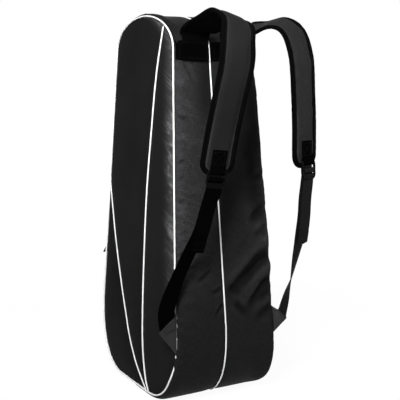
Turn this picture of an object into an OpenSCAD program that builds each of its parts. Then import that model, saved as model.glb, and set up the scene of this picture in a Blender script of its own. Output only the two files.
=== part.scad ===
// Racket tournament bag with two padded compartments, standing on its broad end.
// X runs from the left face to the right face, Y from the strap side to the zip side, Z up.

/* [Bag] */
// height of the face seam at the crown
crown_height = 740; // [640:1:820]
// width across the gussets where the base corners end
base_width = 352; // [300:1:400]
// width across the gussets where the crown begins
shoulder_width = 266; // [230:1:300]
// depth between the two faces at the floor
base_depth = 222; // [180:1:260]
// depth between the two faces at the crown
crown_depth = 163; // [140:1:180]
// height at which the base corners run out into the sides
corner_height = 155; // [120:1:180]
// height of the crown arch above the shoulders
crown_rise = 65; // [50:1:90]
// width of the flat that the bag stands on
base_flat = 110; // [90:1:140]
// fullness of the base corners
corner_power = 2.45; // [2:0.05:3]
// thickness of a padded gusset
gusset_wall = 4; // [3:0.5:6]
// how far the fabric between the faces hangs level with the crown seam
crown_sag = 9; // [4:0.5:12]

/* [Divider] */
// sideways place of the divider at the floor
divider_base_x = 3; // [-10:1:10]
// sideways place of the divider at the crown
divider_crown_x = -16; // [-25:1:10]
// thickness of the divider panel
divider_wall = 2; // [1:0.5:4]

/* [Faces] */
// how far the face seam lies inside the gusset
seam_inset = 10; // [9:0.5:14]
// diameter of the piping
piping_d = 3.2; // [2.4:0.1:5]
// thickness of the outer face fabric
shell_wall = 2.2; // [1.5:0.1:3]
// thickness of the face foam
foam_wall = 5; // [3:0.5:6]
// thickness of the lining
lining_wall = 0.8; // [0.5:0.1:1.5]
// points of the long piping line on the face, in percent of half the base width and of the crown height
long_line = [[-47.7, 97.8], [-34.1, 85.4], [-25.6, 70.9], [-17.6, 52.4], [-15.3, 29.1], [-17.6, 14.1],
  [-26.7, 5.1], [-36.4, 1.35]];
// points of the short piping line on the face, in the same percent
short_line = [[85.2, 58.9], [74.4, 49.3], [60.2, 38], [43.8, 27.6], [29.5, 19.7], [16.5, 13.2], [0, 7.7],
  [-17.6, 3.8], [-34.1, 0.8]];

/* [Zips] */
// distance of the zip from the face
zip_offset = 20; // [18:0.5:26]
// gap between the two rows of teeth
zip_gap = 2; // [1.6:0.1:3]
// width of a tape
tape_width = 8.7; // [7:0.1:10]
// height of the slider above the floor
slider_height = 280; // [200:1:600]
// length of the zip pull
pull_length = 60; // [30:1:70]
// angle at which the pull stands off the bag
pull_rest = 40; // [0:5:60]

/* [Straps] */
// how far below the crown seam the middle of the anchor bands lies
anchor_drop = 68; // [60:1:140]
// width of an anchor band
band_width = 36; // [25:1:45]
// width of the shoulder pads
pad_width = 60; // [50:1:70]
// thickness of the shoulder pads
pad_wall = 10; // [7:0.5:14]
// width of the webbing
web_width = 26; // [20:1:38]
// thickness of the webbing
web_wall = 1.8; // [1.2:0.1:2.5]
// height of the lower strap tabs
tab_height = 146; // [130:1:170]

/* [Hidden] */
$fn = 32;
fit_gap = 0.3;
pipe_r = piping_d / 2;
shoulder_height = crown_height - crown_rise;
anchor_height = crown_height - anchor_drop;
face_inset = seam_inset + pipe_r + fit_gap;
ring_height = crown_height + seam_inset;
half_base = base_width / 2;
half_shoulder = shoulder_width / 2;
face_slope = (base_depth - crown_depth) / 2 / crown_height;
face_lean = atan(face_slope);
side_lean = atan((half_base - half_shoulder) / (shoulder_height - corner_height));
zip_lean = atan(face_slope * cos(side_lean));
zip_level = 2;
tape_half = 0.5;
coil_half = 1.3;
coil_width = 2.2;
coil_step = 0.5;
inner_start = zip_offset + zip_gap / 2 + tape_width + 0.5;
tape_start = zip_offset - zip_gap / 2 - tape_width;

BASE_STEPS = [0, 0.3, 0.42, 0.54, 0.66, 0.78, 0.9, 1];
SIDE_STEPS = [1, 2];
CROWN_STEPS = [2, 2.12, 2.24, 2.38, 2.52, 2.68, 2.84, 3];

// Vectors and curves

function mix(a, b, t) = a + (b - a) * t;
function unit(v) = v / norm(v);
function flip(list) = [for (i = [len(list) - 1 : -1 : 0]) list[i]];
function total(list, i = 0) = i == len(list) ? 0 : list[i] + total(list, i + 1);

function hermite(a, b, c, d, t) =
  0.5 * (2 * b + (c - a) * t + (2 * a - 5 * b + 4 * c - d) * pow(t, 2)
  + (3 * b - a - 3 * c + d) * pow(t, 3));

function spline(p, n) =
  let (last = len(p) - 1, q = concat([2 * p[0] - p[1]], p, [2 * p[last] - p[last - 1]]))
  concat([for (i = [0 : last - 1], k = [0 : n - 1])
    hermite(q[i], q[i + 1], q[i + 2], q[i + 3], k / n)], [p[last]]);

function along(p, i) = unit(p[min(i + 1, len(p) - 1)] - p[max(i - 1, 0)]);

// Solid through a row of rings, each ring an outer edge followed by the inner edge backwards

function skin_faces(m, n, closed) = concat(
  [for (i = [0 : closed ? m - 1 : m - 2], j = [0 : n - 1], k = [0, 1])
    let (next = ((i + 1) % m) * n, a = i * n + j, b = i * n + (j + 1) % n,
      c = next + j, d = next + (j + 1) % n)
    k == 0 ? [a, c, b] : [b, c, d]],
  closed ? [] : [for (j = [0 : n / 2 - 2], k = [0, 1])
    let (a = j, b = j + 1, c = n - 2 - j, d = n - 1 - j)
    k == 0 ? [a, b, d] : [b, c, d]],
  closed ? [] : [for (j = [0 : n / 2 - 2], k = [0, 1])
    let (s = (m - 1) * n, a = s + j, b = s + j + 1, c = s + n - 2 - j, d = s + n - 1 - j)
    k == 0 ? [a, d, b] : [b, d, c]]);

module skin(rings, closed = false) {
  m = len(rings);
  n = len(rings[0]);
  points = [for (r = rings, p = r) p];
  faces = skin_faces(m, n, closed);
  turn = total([for (f = faces) points[f[0]] * cross(points[f[1]], points[f[2]])]);
  polyhedron(points, turn > 0 ? [for (f = faces) flip(f)] : faces);
}

// Bag outline: place on the rim at step u, with u 0 to 1 base, 1 to 2 side, 2 to 3 crown

function half_depth(z) = base_depth / 2 - face_slope * z;
function divider_x(z) = mix(divider_base_x, divider_crown_x, z / crown_height);

function corner_at(u, inset) =
  let (a = 90 * (u - 0.3) / 0.7, half = base_flat / 2, power = 2 / corner_power)
  [half + (half_base - inset - half) * pow(sin(a), power),
   corner_height - (corner_height - inset) * pow(cos(a), power)];

function rim(u, inset) =
  u <= 0.3 ? [base_flat / 2 * u / 0.3, inset] :
  u <= 1 ? corner_at(u, inset) :
  u <= 2 ? [mix(half_base, half_shoulder, u - 1) - inset, mix(corner_height, shoulder_height, u - 1)] :
  [(half_shoulder - inset) * cos(90 * (u - 2)),
   mix(shoulder_height, ring_height - inset, sin(90 * (u - 2)))];

function sag(u, inset) = u <= 2 ? inset : inset + max(0, crown_sag - inset) * pow(sin(90 * (u - 2)), 2);

function gusset_y(z) =
  z <= shoulder_height ?
    mix(half_base, half_shoulder, (z - corner_height) / (shoulder_height - corner_height)) :
  half_shoulder * sqrt(1 - pow((z - shoulder_height) / (ring_height - crown_sag - shoulder_height), 2));

// Profile point: [from the divider, distance, inset, depth below the skin]

function belt_point(s, side, u, q) =
  let (r = rim(u, sag(u, q[2]) + q[3]), z = r[1])
  [q[0] == 0 ? s * (half_depth(z) - q[1]) : divider_x(z) + s * q[1], side * r[0], z];

function belt_rings(s, steps, outer, inner) =
  [for (w = steps) [for (q = concat(outer, flip(inner))) belt_point(s, w[1], w[0], q)]];

module belt(s, steps, outer, inner, closed = false) {
  skin(belt_rings(s, steps, outer, inner), closed);
}

function back_of(list) = [for (u = list) [u, -1]];
function front_of(list) = [for (u = list) [u, 1]];
function trim(list, a, b) = concat([a], [for (u = list) if (u > a && u < b) u], [b]);

FULL_OUTER = [[0, 2.6, 9, 0], [0, 10, 1.5, 0], [0, 30, 0, 0], [1, pipe_r + fit_gap, 0, 0]];
FULL_INNER = [[0, 4.6, 9, 2.6], [0, 12.5, 1.5, gusset_wall], [0, 30, 0, gusset_wall],
  [1, pipe_r + fit_gap, 0, gusset_wall]];
WELL_OUTER = [[0, inner_start, 0.8, 0], [0, inner_start + 8, 0, 0], [1, pipe_r + fit_gap, 0, 0]];
WELL_INNER = [[0, inner_start, 0.8, gusset_wall], [0, inner_start + 8, 0, gusset_wall],
  [1, pipe_r + fit_gap, 0, gusset_wall]];
RIM_OUTER = [[0, 2.6, 9, 0], [0, tape_start - fit_gap, 1.2, 0]];
RIM_INNER = [[0, 4.6, 9, 2.6], [0, tape_start - fit_gap, 1.2, gusset_wall]];
SEAM_STEP = 0.004;

// Gussets

module spine_gusset(s) {
  belt(s, back_of(trim(SIDE_STEPS, 1 + SEAM_STEP, 2 - SEAM_STEP)), FULL_OUTER, FULL_INNER);
}

module crown_gusset_back(s) {
  belt(s, back_of(trim(CROWN_STEPS, 2, 3 - SEAM_STEP)), FULL_OUTER, FULL_INNER);
}

module crown_gusset_front(s) {
  belt(s, front_of(trim(CROWN_STEPS, 2, 3)), WELL_OUTER, WELL_INNER);
}

module front_gusset(s) {
  belt(s, front_of(trim(SIDE_STEPS, 1 + SEAM_STEP, 2 - SEAM_STEP)), WELL_OUTER, WELL_INNER);
}

module base_gusset(s) {
  belt(s, back_of(BASE_STEPS), FULL_OUTER, FULL_INNER);
  belt(s, concat(back_of([0.02]), front_of(BASE_STEPS)), WELL_OUTER, WELL_INNER);
}

module base_board(s) {
  level = gusset_wall + 0.1;
  inner = divider_x(level) + s * (divider_wall / 2 + fit_gap);
  outer = s * (half_depth(level) - inner_start - 9);
  translate([min(inner, outer), -base_flat / 2 + 1, level])
    cube([abs(outer - inner), base_flat - 2, 2]);
}

// Faces, drawn flat and laid on the leaning plane of the left face

function face_ring(inset) =
  let (steps = concat(BASE_STEPS, trim(CROWN_STEPS, 2, 3)), n = len(steps))
  concat([for (u = steps) let (r = rim(u, inset)) [-r[0], r[1] / cos(face_lean)]],
    [for (i = [n - 2 : -1 : 1]) let (r = rim(steps[i], inset)) [r[0], r[1] / cos(face_lean)]]);

function drift(line, d) =
  [for (i = [0 : len(line) - 1]) let (t = along(line, i)) line[i] + d * [-t[1], t[0]]];

function on_panel(line) = [for (p = line) [p[0] * half_base, p[1] * crown_height] / 100];

LONG_CURVE = spline(on_panel(long_line), 4);
SHORT_CURVE = spline(on_panel(short_line), 4);
LINE_HALF = pipe_r + 0.2;
LINE_STOP = 24;
OUTSIDE = crown_height + base_width;

module on_face(s) {
  mirror([s > 0 ? 1 : 0, 0, 0])
    multmatrix([[0, sin(face_lean), cos(face_lean), -base_depth / 2], [1, 0, 0, 0],
      [0, cos(face_lean), -sin(face_lean), 0], [0, 0, 0, 1]])
    children();
}

module face_layer(start, wall) {
  translate([0, 0, start])
    linear_extrude(wall)
    children();
}

module side_region(d) {
  polygon(concat([[-OUTSIDE, OUTSIDE]], drift(LONG_CURVE, d), [[-OUTSIDE, -OUTSIDE]]));
}

module wedge_region(d) {
  last = SHORT_CURVE[len(SHORT_CURVE) - 1];
  polygon(concat([[OUTSIDE, SHORT_CURVE[0][1]]], drift(SHORT_CURVE, d),
    [[last[0], -OUTSIDE], [OUTSIDE, -OUTSIDE]]));
}

module face_main(s) {
  on_face(s) face_layer(0, shell_wall) difference() {
    polygon(face_ring(face_inset));
    side_region(LINE_HALF);
    wedge_region(-LINE_HALF);
  }
}

module face_side(s) {
  on_face(s) face_layer(0, shell_wall) intersection() {
    polygon(face_ring(face_inset));
    side_region(-LINE_HALF);
  }
}

module face_wedge(s) {
  on_face(s) face_layer(0, shell_wall) difference() {
    intersection() {
      polygon(face_ring(face_inset));
      wedge_region(LINE_HALF);
    }
    side_region(LINE_HALF);
  }
}

module face_foam(s) {
  on_face(s) face_layer(shell_wall, foam_wall) polygon(face_ring(face_inset + 0.5));
}

module face_lining(s) {
  on_face(s) face_layer(shell_wall + foam_wall, lining_wall) polygon(face_ring(face_inset + 0.5));
}

function tube_ring(p, t, level) =
  [for (a = [22.5 : 45 : 360])
    [p[0], p[1], level] + pipe_r * (cos(a) * [-t[1], t[0], 0] + sin(a) * [0, 0, 1])];

module tube(line, level, closed = false) {
  n = len(line);
  skin([for (i = [0 : n - 1])
    let (t = closed ? unit(line[(i + 1) % n] - line[(i + n - 1) % n]) : along(line, i))
    tube_ring(line[i], t, level)], closed);
}

module face_piping(s) {
  on_face(s) tube(face_ring(seam_inset), 0, true);
}

function inside(line) = [for (p = line)
  if (p[1] > LINE_STOP && p[1] < crown_height - LINE_STOP
    && p[0] < gusset_y(max(p[1], corner_height)) - face_inset - 6) p];

module line_piping(s) {
  on_face(s) {
    tube(inside(LONG_CURVE), -0.05);
    tube([for (p = inside(SHORT_CURVE)) if (p[1] > 60) p], -0.05);
  }
}

// Rim of the cover and the two halves of the zip

FRONT_RUN = concat(trim(BASE_STEPS, 0.06, 1), trim(CROWN_STEPS, 2, 2.97));

module rim_strip(s) {
  belt(s, front_of(FRONT_RUN), RIM_OUTER, RIM_INNER);
}

module zip_half(s, profile) {
  belt(s, front_of(FRONT_RUN), [for (q = profile) [0, q[0], zip_level, -q[1]]],
    [for (q = profile) [0, q[0], zip_level, q[1]]]);
}

module zip_outer(s) {
  edge = zip_offset - zip_gap / 2;
  root = edge - coil_width;
  zip_half(s, [[tape_start, tape_half], [root, tape_half],
    [root + coil_step, coil_half], [edge, coil_half]]);
}

module zip_inner(s) {
  edge = zip_offset + zip_gap / 2;
  root = edge + coil_width;
  zip_half(s, [[edge, coil_half], [root - coil_step, coil_half],
    [root, tape_half], [edge + tape_width, tape_half]]);
}

module on_zip(s, z) {
  y = gusset_y(z) - zip_level;
  translate([s * (half_depth(z) - zip_offset), y, z])
    rotate([side_lean, 0, 0])
    rotate([0, -s * zip_lean, 0])
    children();
}

PIN_LEVEL = 6;

module slider(s) {
  on_zip(s, slider_height) {
    translate([-5.5, 1.7, -7]) cube([11, 1.4, 14]);
    translate([-5.5, -3.1, -7]) cube([11, 1.4, 14]);
    translate([-0.6, -2, 3]) cube([1.2, 4, 3.4]);
    for (x = [-2.8, 1.7])
      translate([x, 3, -1.6]) cube([1.1, 4.2, 3.2]);
    translate([-2.8, PIN_LEVEL, 0]) rotate([0, 90, 0]) cylinder(r = 0.9, h = 5.6);
  }
}

module pull(s) {
  on_zip(s, slider_height) translate([0, PIN_LEVEL, 0]) rotate([pull_rest, 0, 0]) difference() {
    union() {
      translate([-1.4, 0, 0]) rotate([0, 90, 0]) cylinder(r = 2.2, h = 2.8);
      translate([-1.4, -0.9, -8]) cube([2.8, 1.8, 8]);
      translate([-4, -0.9, -pull_length]) cube([8, 1.8, pull_length - 7]);
    }
    translate([-3, 0, 0]) rotate([0, 90, 0]) cylinder(r = 1, h = 6);
  }
}

// Divider

function divider_ring(side) = [for (u = concat(BASE_STEPS, trim(CROWN_STEPS, 2, 3)))
  let (r = rim(u, sag(u, 0) + gusset_wall + fit_gap)) [side * r[0], r[1]]];

module divider_panel() {
  ring = concat(divider_ring(-1), flip(divider_ring(1)));
  n = len(ring) / 2;
  back = divider_ring(-1);
  front = divider_ring(1);
  skin([for (i = [1 : n - 2]) [for (k = [-1, 1]) each k < 0 ?
    [[divider_x(back[i][1]) - divider_wall / 2, back[i][0], back[i][1]],
     [divider_x(back[i][1]) + divider_wall / 2, back[i][0], back[i][1]]] :
    [[divider_x(front[i][1]) + divider_wall / 2, front[i][0], front[i][1]],
     [divider_x(front[i][1]) - divider_wall / 2, front[i][0], front[i][1]]]]]);
}

function round_profile(level) = let (r = pipe_r)
  [for (a = [22.5 : 45 : 180]) [1, -r * cos(a), level, -r * sin(a)]];
function round_under(level) = let (r = pipe_r)
  [for (a = [22.5 : 45 : 180]) [1, -r * cos(a), level, r * sin(a)]];

module divider_piping() {
  run = concat(trim(BASE_STEPS, 0.6, 1), trim(CROWN_STEPS, 2, 3));
  belt(1, concat(back_of(run), front_of([for (i = [len(run) - 2 : -1 : 0]) run[i]])),
    round_profile(0.8), round_under(0.8));
}

// Straps. Each hang lists offsets from the anchor, then the turn and the bank of the pad.
// Each run lists shares of the way from the buckle to the tab, then the turn and the bank of the webbing.

LEFT_HANG = [[0, -1, 33, 0, 0], [-3, -18, 39.5, -5, -0.2], [2.5, -55, 51, -7, -0.34],
  [0.5, -104.5, 61, -10, -0.38], [-2, -145.5, 47, -9, -0.29], [-10.5, -161.3, 16, -8.5, -0.15],
  [-13.7, -162.6, -25, -14, 0], [-17, -143, -88, -13.5, 0], [-18.5, -121.5, -152, -14.5, 0],
  [-20.5, -105.5, -214, -16.5, 0]];
RIGHT_HANG = [[0, -1, 33, 0, 0], [9, -21.5, 39.5, 3, 0.22], [29, -43, 42, 11, 0.45],
  [43.5, -77.5, 50, 17, 0.31],
  [54, -109.5, 35, 13, 0.12], [59.5, -129, -7.5, 12, 0.05], [61, -135.5, -68, 13, 0],
  [63, -137.5, -130, 13, 0], [65, -137, -206, 13, 0]];
LEFT_ANCHOR_SHIFT = 3.2;

function anchor_at(s) =
  [(s * half_depth(anchor_height) + divider_x(anchor_height)) / 2 + (s < 0 ? LEFT_ANCHOR_SHIFT : 0),
   -(gusset_y(anchor_height) + pad_wall / 2 + 1), anchor_height];

function hang_path(s) =
  let (a = anchor_at(s), hang = s < 0 ? LEFT_HANG : RIGHT_HANG)
  concat([[a[0], a[1], a[2] + NECK_RISE, 0, 0]],
    spline([for (p = hang) [a[0] + p[0], a[1] + p[1], a[2] + p[2], p[3], p[4]]], 4));

function place(p) = [p[0], p[1], p[2]];
function places(path) = [for (p = path) place(p)];

function across(path, i) =
  let (t = along(places(path), i), q = path[i], w = [cos(q[3]), sin(q[3]), q[4]])
  unit(w - t * (w * t));

function ribbon_ring(path, i, shape) =
  let (t = along(places(path), i), w = across(path, i), n = cross(t, w))
  [for (q = shape) place(path[i]) + q[0] * w + q[1] * n];

module ribbon(path, shape) {
  skin([for (i = [0 : len(path) - 1]) ribbon_ring(path, i, shape)]);
}

function strip(w, low, high) = [[-w / 2, high], [w / 2, high], [w / 2, low], [-w / 2, low]];

function pad_shape(w, t) = [[-w / 2, t / 4], [-w / 2 + 5, t / 2], [w / 2 - 5, t / 2], [w / 2, t / 4],
  [w / 2, -t / 4], [w / 2 - 5, -t / 2], [-w / 2 + 5, -t / 2], [-w / 2, -t / 4]];

NECK_GAP = 1.9;
NECK_RISE = 27;

// Frame at the lower end of a pad: across, inward, up and the place of the buckle bar

BUCKLE_DROP = -8;
BUCKLE_OUT = 4.6;

function pad_end(s) =
  let (path = hang_path(s), i = len(path) - 1, t = along(places(path), i), w = across(path, i))
  [w, cross(w, t), -t, place(path[i]) + t * BUCKLE_DROP - cross(w, t) * (pad_wall / 2 + BUCKLE_OUT)];

module on_buckle(s) {
  f = pad_end(s);
  multmatrix([[f[0][0], f[1][0], f[2][0], f[3][0]], [f[0][1], f[1][1], f[2][1], f[3][1]],
    [f[0][2], f[1][2], f[2][2], f[3][2]], [0, 0, 0, 1]])
    children();
}

LEFT_RUN = [[0, 0, 0, -15, -0.1], [0.09, 0.19, 0.15, -11, -0.05], [0.4, 0.2, 0.315, -6, 0],
  [0.675, 0.43, 0.478, -7, 0], [0.915, 0.77, 0.685, -13, 0.1], [1.07, 0.96, 0.852, -12, 0.2],
  [1, 1, 1, 6, 0.4]];
RIGHT_RUN = [[0, 0, 0, 13, 0], [0.06, 0.08, 0.15, 11, 0], [0.24, 0.165, 0.295, 9, 0],
  [0.48, 0.33, 0.465, 14, 0], [0.83, 0.64, 0.72, 48, 0.1], [1.01, 0.87, 0.885, 78, 0.3], [1, 1, 1, 90, 0.5]];

// Webbing end beside the tab: how far outside the face, how far behind the gusset, how far above the tab
LEFT_END = [18, -5.4, 17];
RIGHT_END = [21.8, 7.4, 15];

function run_end(s) =
  let (q = s < 0 ? LEFT_END : RIGHT_END, z = tab_height + q[2])
  [s * (half_depth(z) + q[0]), -(gusset_y(max(z, corner_height)) + q[1]), z];

function run_path(s) =
  let (f = pad_end(s), a = f[3] - f[2] * 12 + f[1] * 3.2, way = run_end(s) - a,
    run = s < 0 ? LEFT_RUN : RIGHT_RUN)
  spline([for (p = run) [a[0] + p[0] * way[0], a[1] + p[1] * way[1], a[2] + p[2] * way[2], p[3], p[4]]], 4);

module anchor_band(s) {
  low = anchor_height - band_width / 2;
  steps = [for (k = [0 : 5]) low + band_width * k / 5];
  skin([for (z = steps) let (y = -gusset_y(z) - 3.9, a = s * (half_depth(z) - 9), b = divider_x(z) + s * 3)
    [[a, y - web_wall, z], [b, y - web_wall, z], [b, y, z], [a, y, z]]]);
}

module strap_neck(s) {
  path = hang_path(s);
  a = anchor_at(s);
  low = anchor_height - band_width / 2 + 2;
  top = place(path[0]) - [0, 0, NECK_GAP];
  foot = [for (k = [0 : 4]) let (z = low + (band_width - 1.5) * k / 4) [a[0], -gusset_y(z) - 2.1, z]];
  shape = concat([for (p = foot) [p, 3]], [[top, pad_wall - 2]]);
  w = pad_width / 2 - 1;
  skin([for (q = shape) let (p = q[0], h = q[1] / 2)
    [p + [-w, h, 0], p + [w, h, 0], p + [w, -h, 0], p + [-w, -h, 0]]]);
}

module strap_pad(s) {
  ribbon(hang_path(s), pad_shape(pad_width, pad_wall));
}

module buckle_loop(s) {
  path = hang_path(s);
  n = len(path);
  share = 1 + BUCKLE_DROP / norm(place(path[n - 1]) - place(path[n - 2]));
  ribbon(concat([for (i = [n - 4 : n - 2]) path[i]], [mix(path[n - 2], path[n - 1], share)]),
    strip(web_width, pad_wall / 2 + 0.1, pad_wall / 2 + 0.1 + web_wall));
  on_buckle(s) translate([-web_width / 2, 0, 0]) rotate([0, 90, 0]) difference() {
    cylinder(r = 4.2, h = web_width);
    translate([0, 0, -1]) cylinder(r = 2.4, h = web_width + 2);
  }
}

module ladder_lock(s) {
  half = web_width / 2 + 1;
  on_buckle(s) {
    for (x = [-half - 3, half])
      translate([x, -2.4, -25]) cube([3, 4.4, 27]);
    translate([-half - 1, 0, 0]) rotate([0, 90, 0]) cylinder(r = 2, h = 2 * half + 2);
    translate([-half - 1, 0, -12]) rotate([0, 90, 0]) cylinder(r = 2, h = 2 * half + 2);
    translate([-half - 1, -2.4, -25]) cube([2 * half + 2, 4.4, 6]);
  }
}

module webbing(s) {
  ribbon(run_path(s), strip(web_width, -web_wall / 2, web_wall / 2));
}

function tail_path(s) =
  let (path = run_path(s), f = pad_end(s), start = f[3] - 25 * f[2] - 3.6 * f[1], stop = s < 0 ? 12 : 10)
  spline(concat([[start[0], start[1], start[2], path[2][3], path[2][4]]],
    [for (i = [5, 8, stop]) let (p = place(path[i]) + 6 * cross(along(places(path), i), across(path, i)))
      [p[0], p[1], p[2], path[i][3], path[i][4]]]), 4);

module tail(s) {
  ribbon(tail_path(s), strip(web_width - 1, -web_wall / 2, web_wall / 2));
  on_buckle(s)
    translate([-web_width / 2 + 0.5, -2.7 - web_wall, -25]) cube([web_width - 1, web_wall, 14]);
}

// Lower tab: sewn edge laid over the face seam, free edge along the end of the webbing

TAB_STEPS = 6;
TAB_SEAM = [1, 5.9];

function tab_corners(s) =
  let (path = run_path(s), i = len(path) - 1, w = across(path, i), h = web_width / 2,
    e = place(path[i]) + 1.4 * along(places(path), i),
    low = tab_height - 24, high = tab_height + 26,
    seam = [for (z = [low, high])
      [s * (half_depth(z) - TAB_SEAM[0]), -(gusset_y(max(z, corner_height)) - TAB_SEAM[1]), z]],
    a = e - w * h, b = e + w * h, upper = a[2] > b[2] ? a : b, lower = a[2] > b[2] ? b : a)
  [seam[0], lower, upper, seam[1]];

module tab(s) {
  c = tab_corners(s);
  t = unit(cross(c[1] - c[0], c[3] - c[0]));
  drop = [0, 0, -0.6];
  skin([for (k = [0 : TAB_STEPS])
    let (u = k / TAB_STEPS, a = mix(c[0], c[1], u) + drop * u,
      b = mix(c[3], c[2], u) + drop * u, m = (a + b) / 2)
    [a - t, m - t, b - t, b + t, m + t, a + t]]);
}

module left_spine_gusset() { color("dimgray") spine_gusset(-1); }
module left_crown_gusset_back() { color("dimgray") crown_gusset_back(-1); }
module left_crown_gusset_front() { color("dimgray") crown_gusset_front(-1); }
module left_front_gusset() { color("dimgray") front_gusset(-1); }
module left_base_gusset() { color("dimgray") base_gusset(-1); }
module left_base_board() { color("gray") base_board(-1); }
module left_face_main() { color("darkslategray") face_main(-1); }
module left_face_side() { color("slategray") face_side(-1); }
module left_face_wedge() { color("slategray") face_wedge(-1); }
module left_face_foam() { color("lightgray") face_foam(-1); }
module left_face_lining() { color("gray") face_lining(-1); }
module left_face_piping() { color("white") face_piping(-1); }
module left_line_piping() { color("white") line_piping(-1); }
module left_rim() { color("dimgray") rim_strip(-1); }
module left_zip_outer() { color("black") zip_outer(-1); }
module left_zip_inner() { color("black") zip_inner(-1); }
module left_slider() { color("silver") slider(-1); }
module left_pull() { color("black") pull(-1); }
module left_anchor_band() { color("black") anchor_band(-1); }
module left_strap_neck() { color("gray") strap_neck(-1); }
module left_strap_pad() { color("gray") strap_pad(-1); }
module left_buckle_loop() { color("black") buckle_loop(-1); }
module left_ladder_lock() { color("black") ladder_lock(-1); }
module left_webbing() { color("black") webbing(-1); }
module left_tail() { color("black") tail(-1); }
module left_tab() { color("dimgray") tab(-1); }
module right_spine_gusset() { color("dimgray") spine_gusset(1); }
module right_crown_gusset_back() { color("dimgray") crown_gusset_back(1); }
module right_crown_gusset_front() { color("dimgray") crown_gusset_front(1); }
module right_front_gusset() { color("dimgray") front_gusset(1); }
module right_base_gusset() { color("dimgray") base_gusset(1); }
module right_base_board() { color("gray") base_board(1); }
module right_face_main() { color("darkslategray") face_main(1); }
module right_face_side() { color("slategray") face_side(1); }
module right_face_wedge() { color("slategray") face_wedge(1); }
module right_face_foam() { color("lightgray") face_foam(1); }
module right_face_lining() { color("gray") face_lining(1); }
module right_face_piping() { color("white") face_piping(1); }
module right_line_piping() { color("white") line_piping(1); }
module right_rim() { color("dimgray") rim_strip(1); }
module right_zip_outer() { color("black") zip_outer(1); }
module right_zip_inner() { color("black") zip_inner(1); }
module right_slider() { color("silver") slider(1); }
module right_pull() { color("black") pull(1); }
module right_anchor_band() { color("black") anchor_band(1); }
module right_strap_neck() { color("gray") strap_neck(1); }
module right_strap_pad() { color("gray") strap_pad(1); }
module right_buckle_loop() { color("black") buckle_loop(1); }
module right_ladder_lock() { color("black") ladder_lock(1); }
module right_webbing() { color("black") webbing(1); }
module right_tail() { color("black") tail(1); }
module right_tab() { color("dimgray") tab(1); }

left_spine_gusset();
left_crown_gusset_back();
left_crown_gusset_front();
left_front_gusset();
left_base_gusset();
left_base_board();
left_face_main();
left_face_side();
left_face_wedge();
left_face_foam();
left_face_lining();
left_face_piping();
left_line_piping();
left_rim();
left_zip_outer();
left_zip_inner();
left_slider();
left_pull();
left_anchor_band();
left_strap_neck();
left_strap_pad();
left_buckle_loop();
left_ladder_lock();
left_webbing();
left_tail();
left_tab();
right_spine_gusset();
right_crown_gusset_back();
right_crown_gusset_front();
right_front_gusset();
right_base_gusset();
right_base_board();
right_face_main();
right_face_side();
right_face_wedge();
right_face_foam();
right_face_lining();
right_face_piping();
right_line_piping();
right_rim();
right_zip_outer();
right_zip_inner();
right_slider();
right_pull();
right_anchor_band();
right_strap_neck();
right_strap_pad();
right_buckle_loop();
right_ladder_lock();
right_webbing();
right_tail();
right_tab();
divider_panel();
divider_piping();
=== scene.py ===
import math
import bpy
import numpy as np
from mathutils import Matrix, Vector


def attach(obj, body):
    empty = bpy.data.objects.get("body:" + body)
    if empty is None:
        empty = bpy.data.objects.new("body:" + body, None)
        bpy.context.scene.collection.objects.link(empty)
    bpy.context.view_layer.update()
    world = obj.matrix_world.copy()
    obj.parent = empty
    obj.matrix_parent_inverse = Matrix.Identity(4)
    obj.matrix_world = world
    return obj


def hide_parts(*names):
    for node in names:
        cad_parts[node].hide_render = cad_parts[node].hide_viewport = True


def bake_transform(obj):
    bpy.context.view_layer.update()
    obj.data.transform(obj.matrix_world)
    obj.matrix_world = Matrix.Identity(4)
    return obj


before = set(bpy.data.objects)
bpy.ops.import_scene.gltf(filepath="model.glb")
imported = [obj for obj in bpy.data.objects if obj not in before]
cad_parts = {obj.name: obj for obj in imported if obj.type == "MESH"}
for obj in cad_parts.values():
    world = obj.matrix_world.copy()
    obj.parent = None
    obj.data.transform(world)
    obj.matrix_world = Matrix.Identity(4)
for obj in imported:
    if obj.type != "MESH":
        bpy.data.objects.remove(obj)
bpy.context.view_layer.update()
scene = bpy.context.scene

# camera, fitted to the piping of the faces and the divider
shot = {"place": (-0.82034, -1.52035, 0.64408), "aim": (0.04166, 0.0, 0.37350), "lens": 77.407,
        "sensor": 36.0}


# an object at a place, turned to look at its aim
def addAimed(name, data, place, aim):
    obj = bpy.data.objects.new(name, data)
    obj.location = place
    obj.rotation_euler = (Vector(aim) - Vector(place)).to_track_quat("-Z", "Y").to_euler()
    scene.collection.objects.link(obj)
    return obj


# camera at its place, looking at its aim
def makeCamera():
    data = bpy.data.cameras.new("camera")
    data.lens, data.sensor_width = shot["lens"], shot["sensor"]
    scene.camera = addAimed("camera", data, shot["place"], shot["aim"])


makeCamera()
print("camera set")


# unit vectors along the last axis
def unit(v):
    return v / np.maximum(np.linalg.norm(v, axis=-1, keepdims=True), 1e-12)


# straight mix of a and b, share t of the way
def mix(a, b, t):
    return a + (b - a) * t


# eased step: 0 below low, 1 above high, a cubic between
def ease(low, high, x):
    t = np.clip((x - low) / (high - low), 0, 1)
    return t * t * (3 - 2 * t)


# bell curve: 1 in the middle, falling with the square of the distance over the width
def bell(x, middle, width):
    return np.exp(-(((x - middle) / width) ** 2))


# 1 at a seam, falling away from it by an exponential
def fade(gap, reach):
    return np.exp(-gap / reach)


# coordinates of matching shapes, joined as points
def points(*coordinates):
    return np.stack(np.broadcast_arrays(*coordinates), -1)


# shares from 0 to 1, packed towards both ends by a part of a half cosine wave
def packed(count, part):
    t = np.linspace(0, 1, count)
    return mix(t, 0.5 - 0.5 * np.cos(np.pi * t), part)


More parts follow.
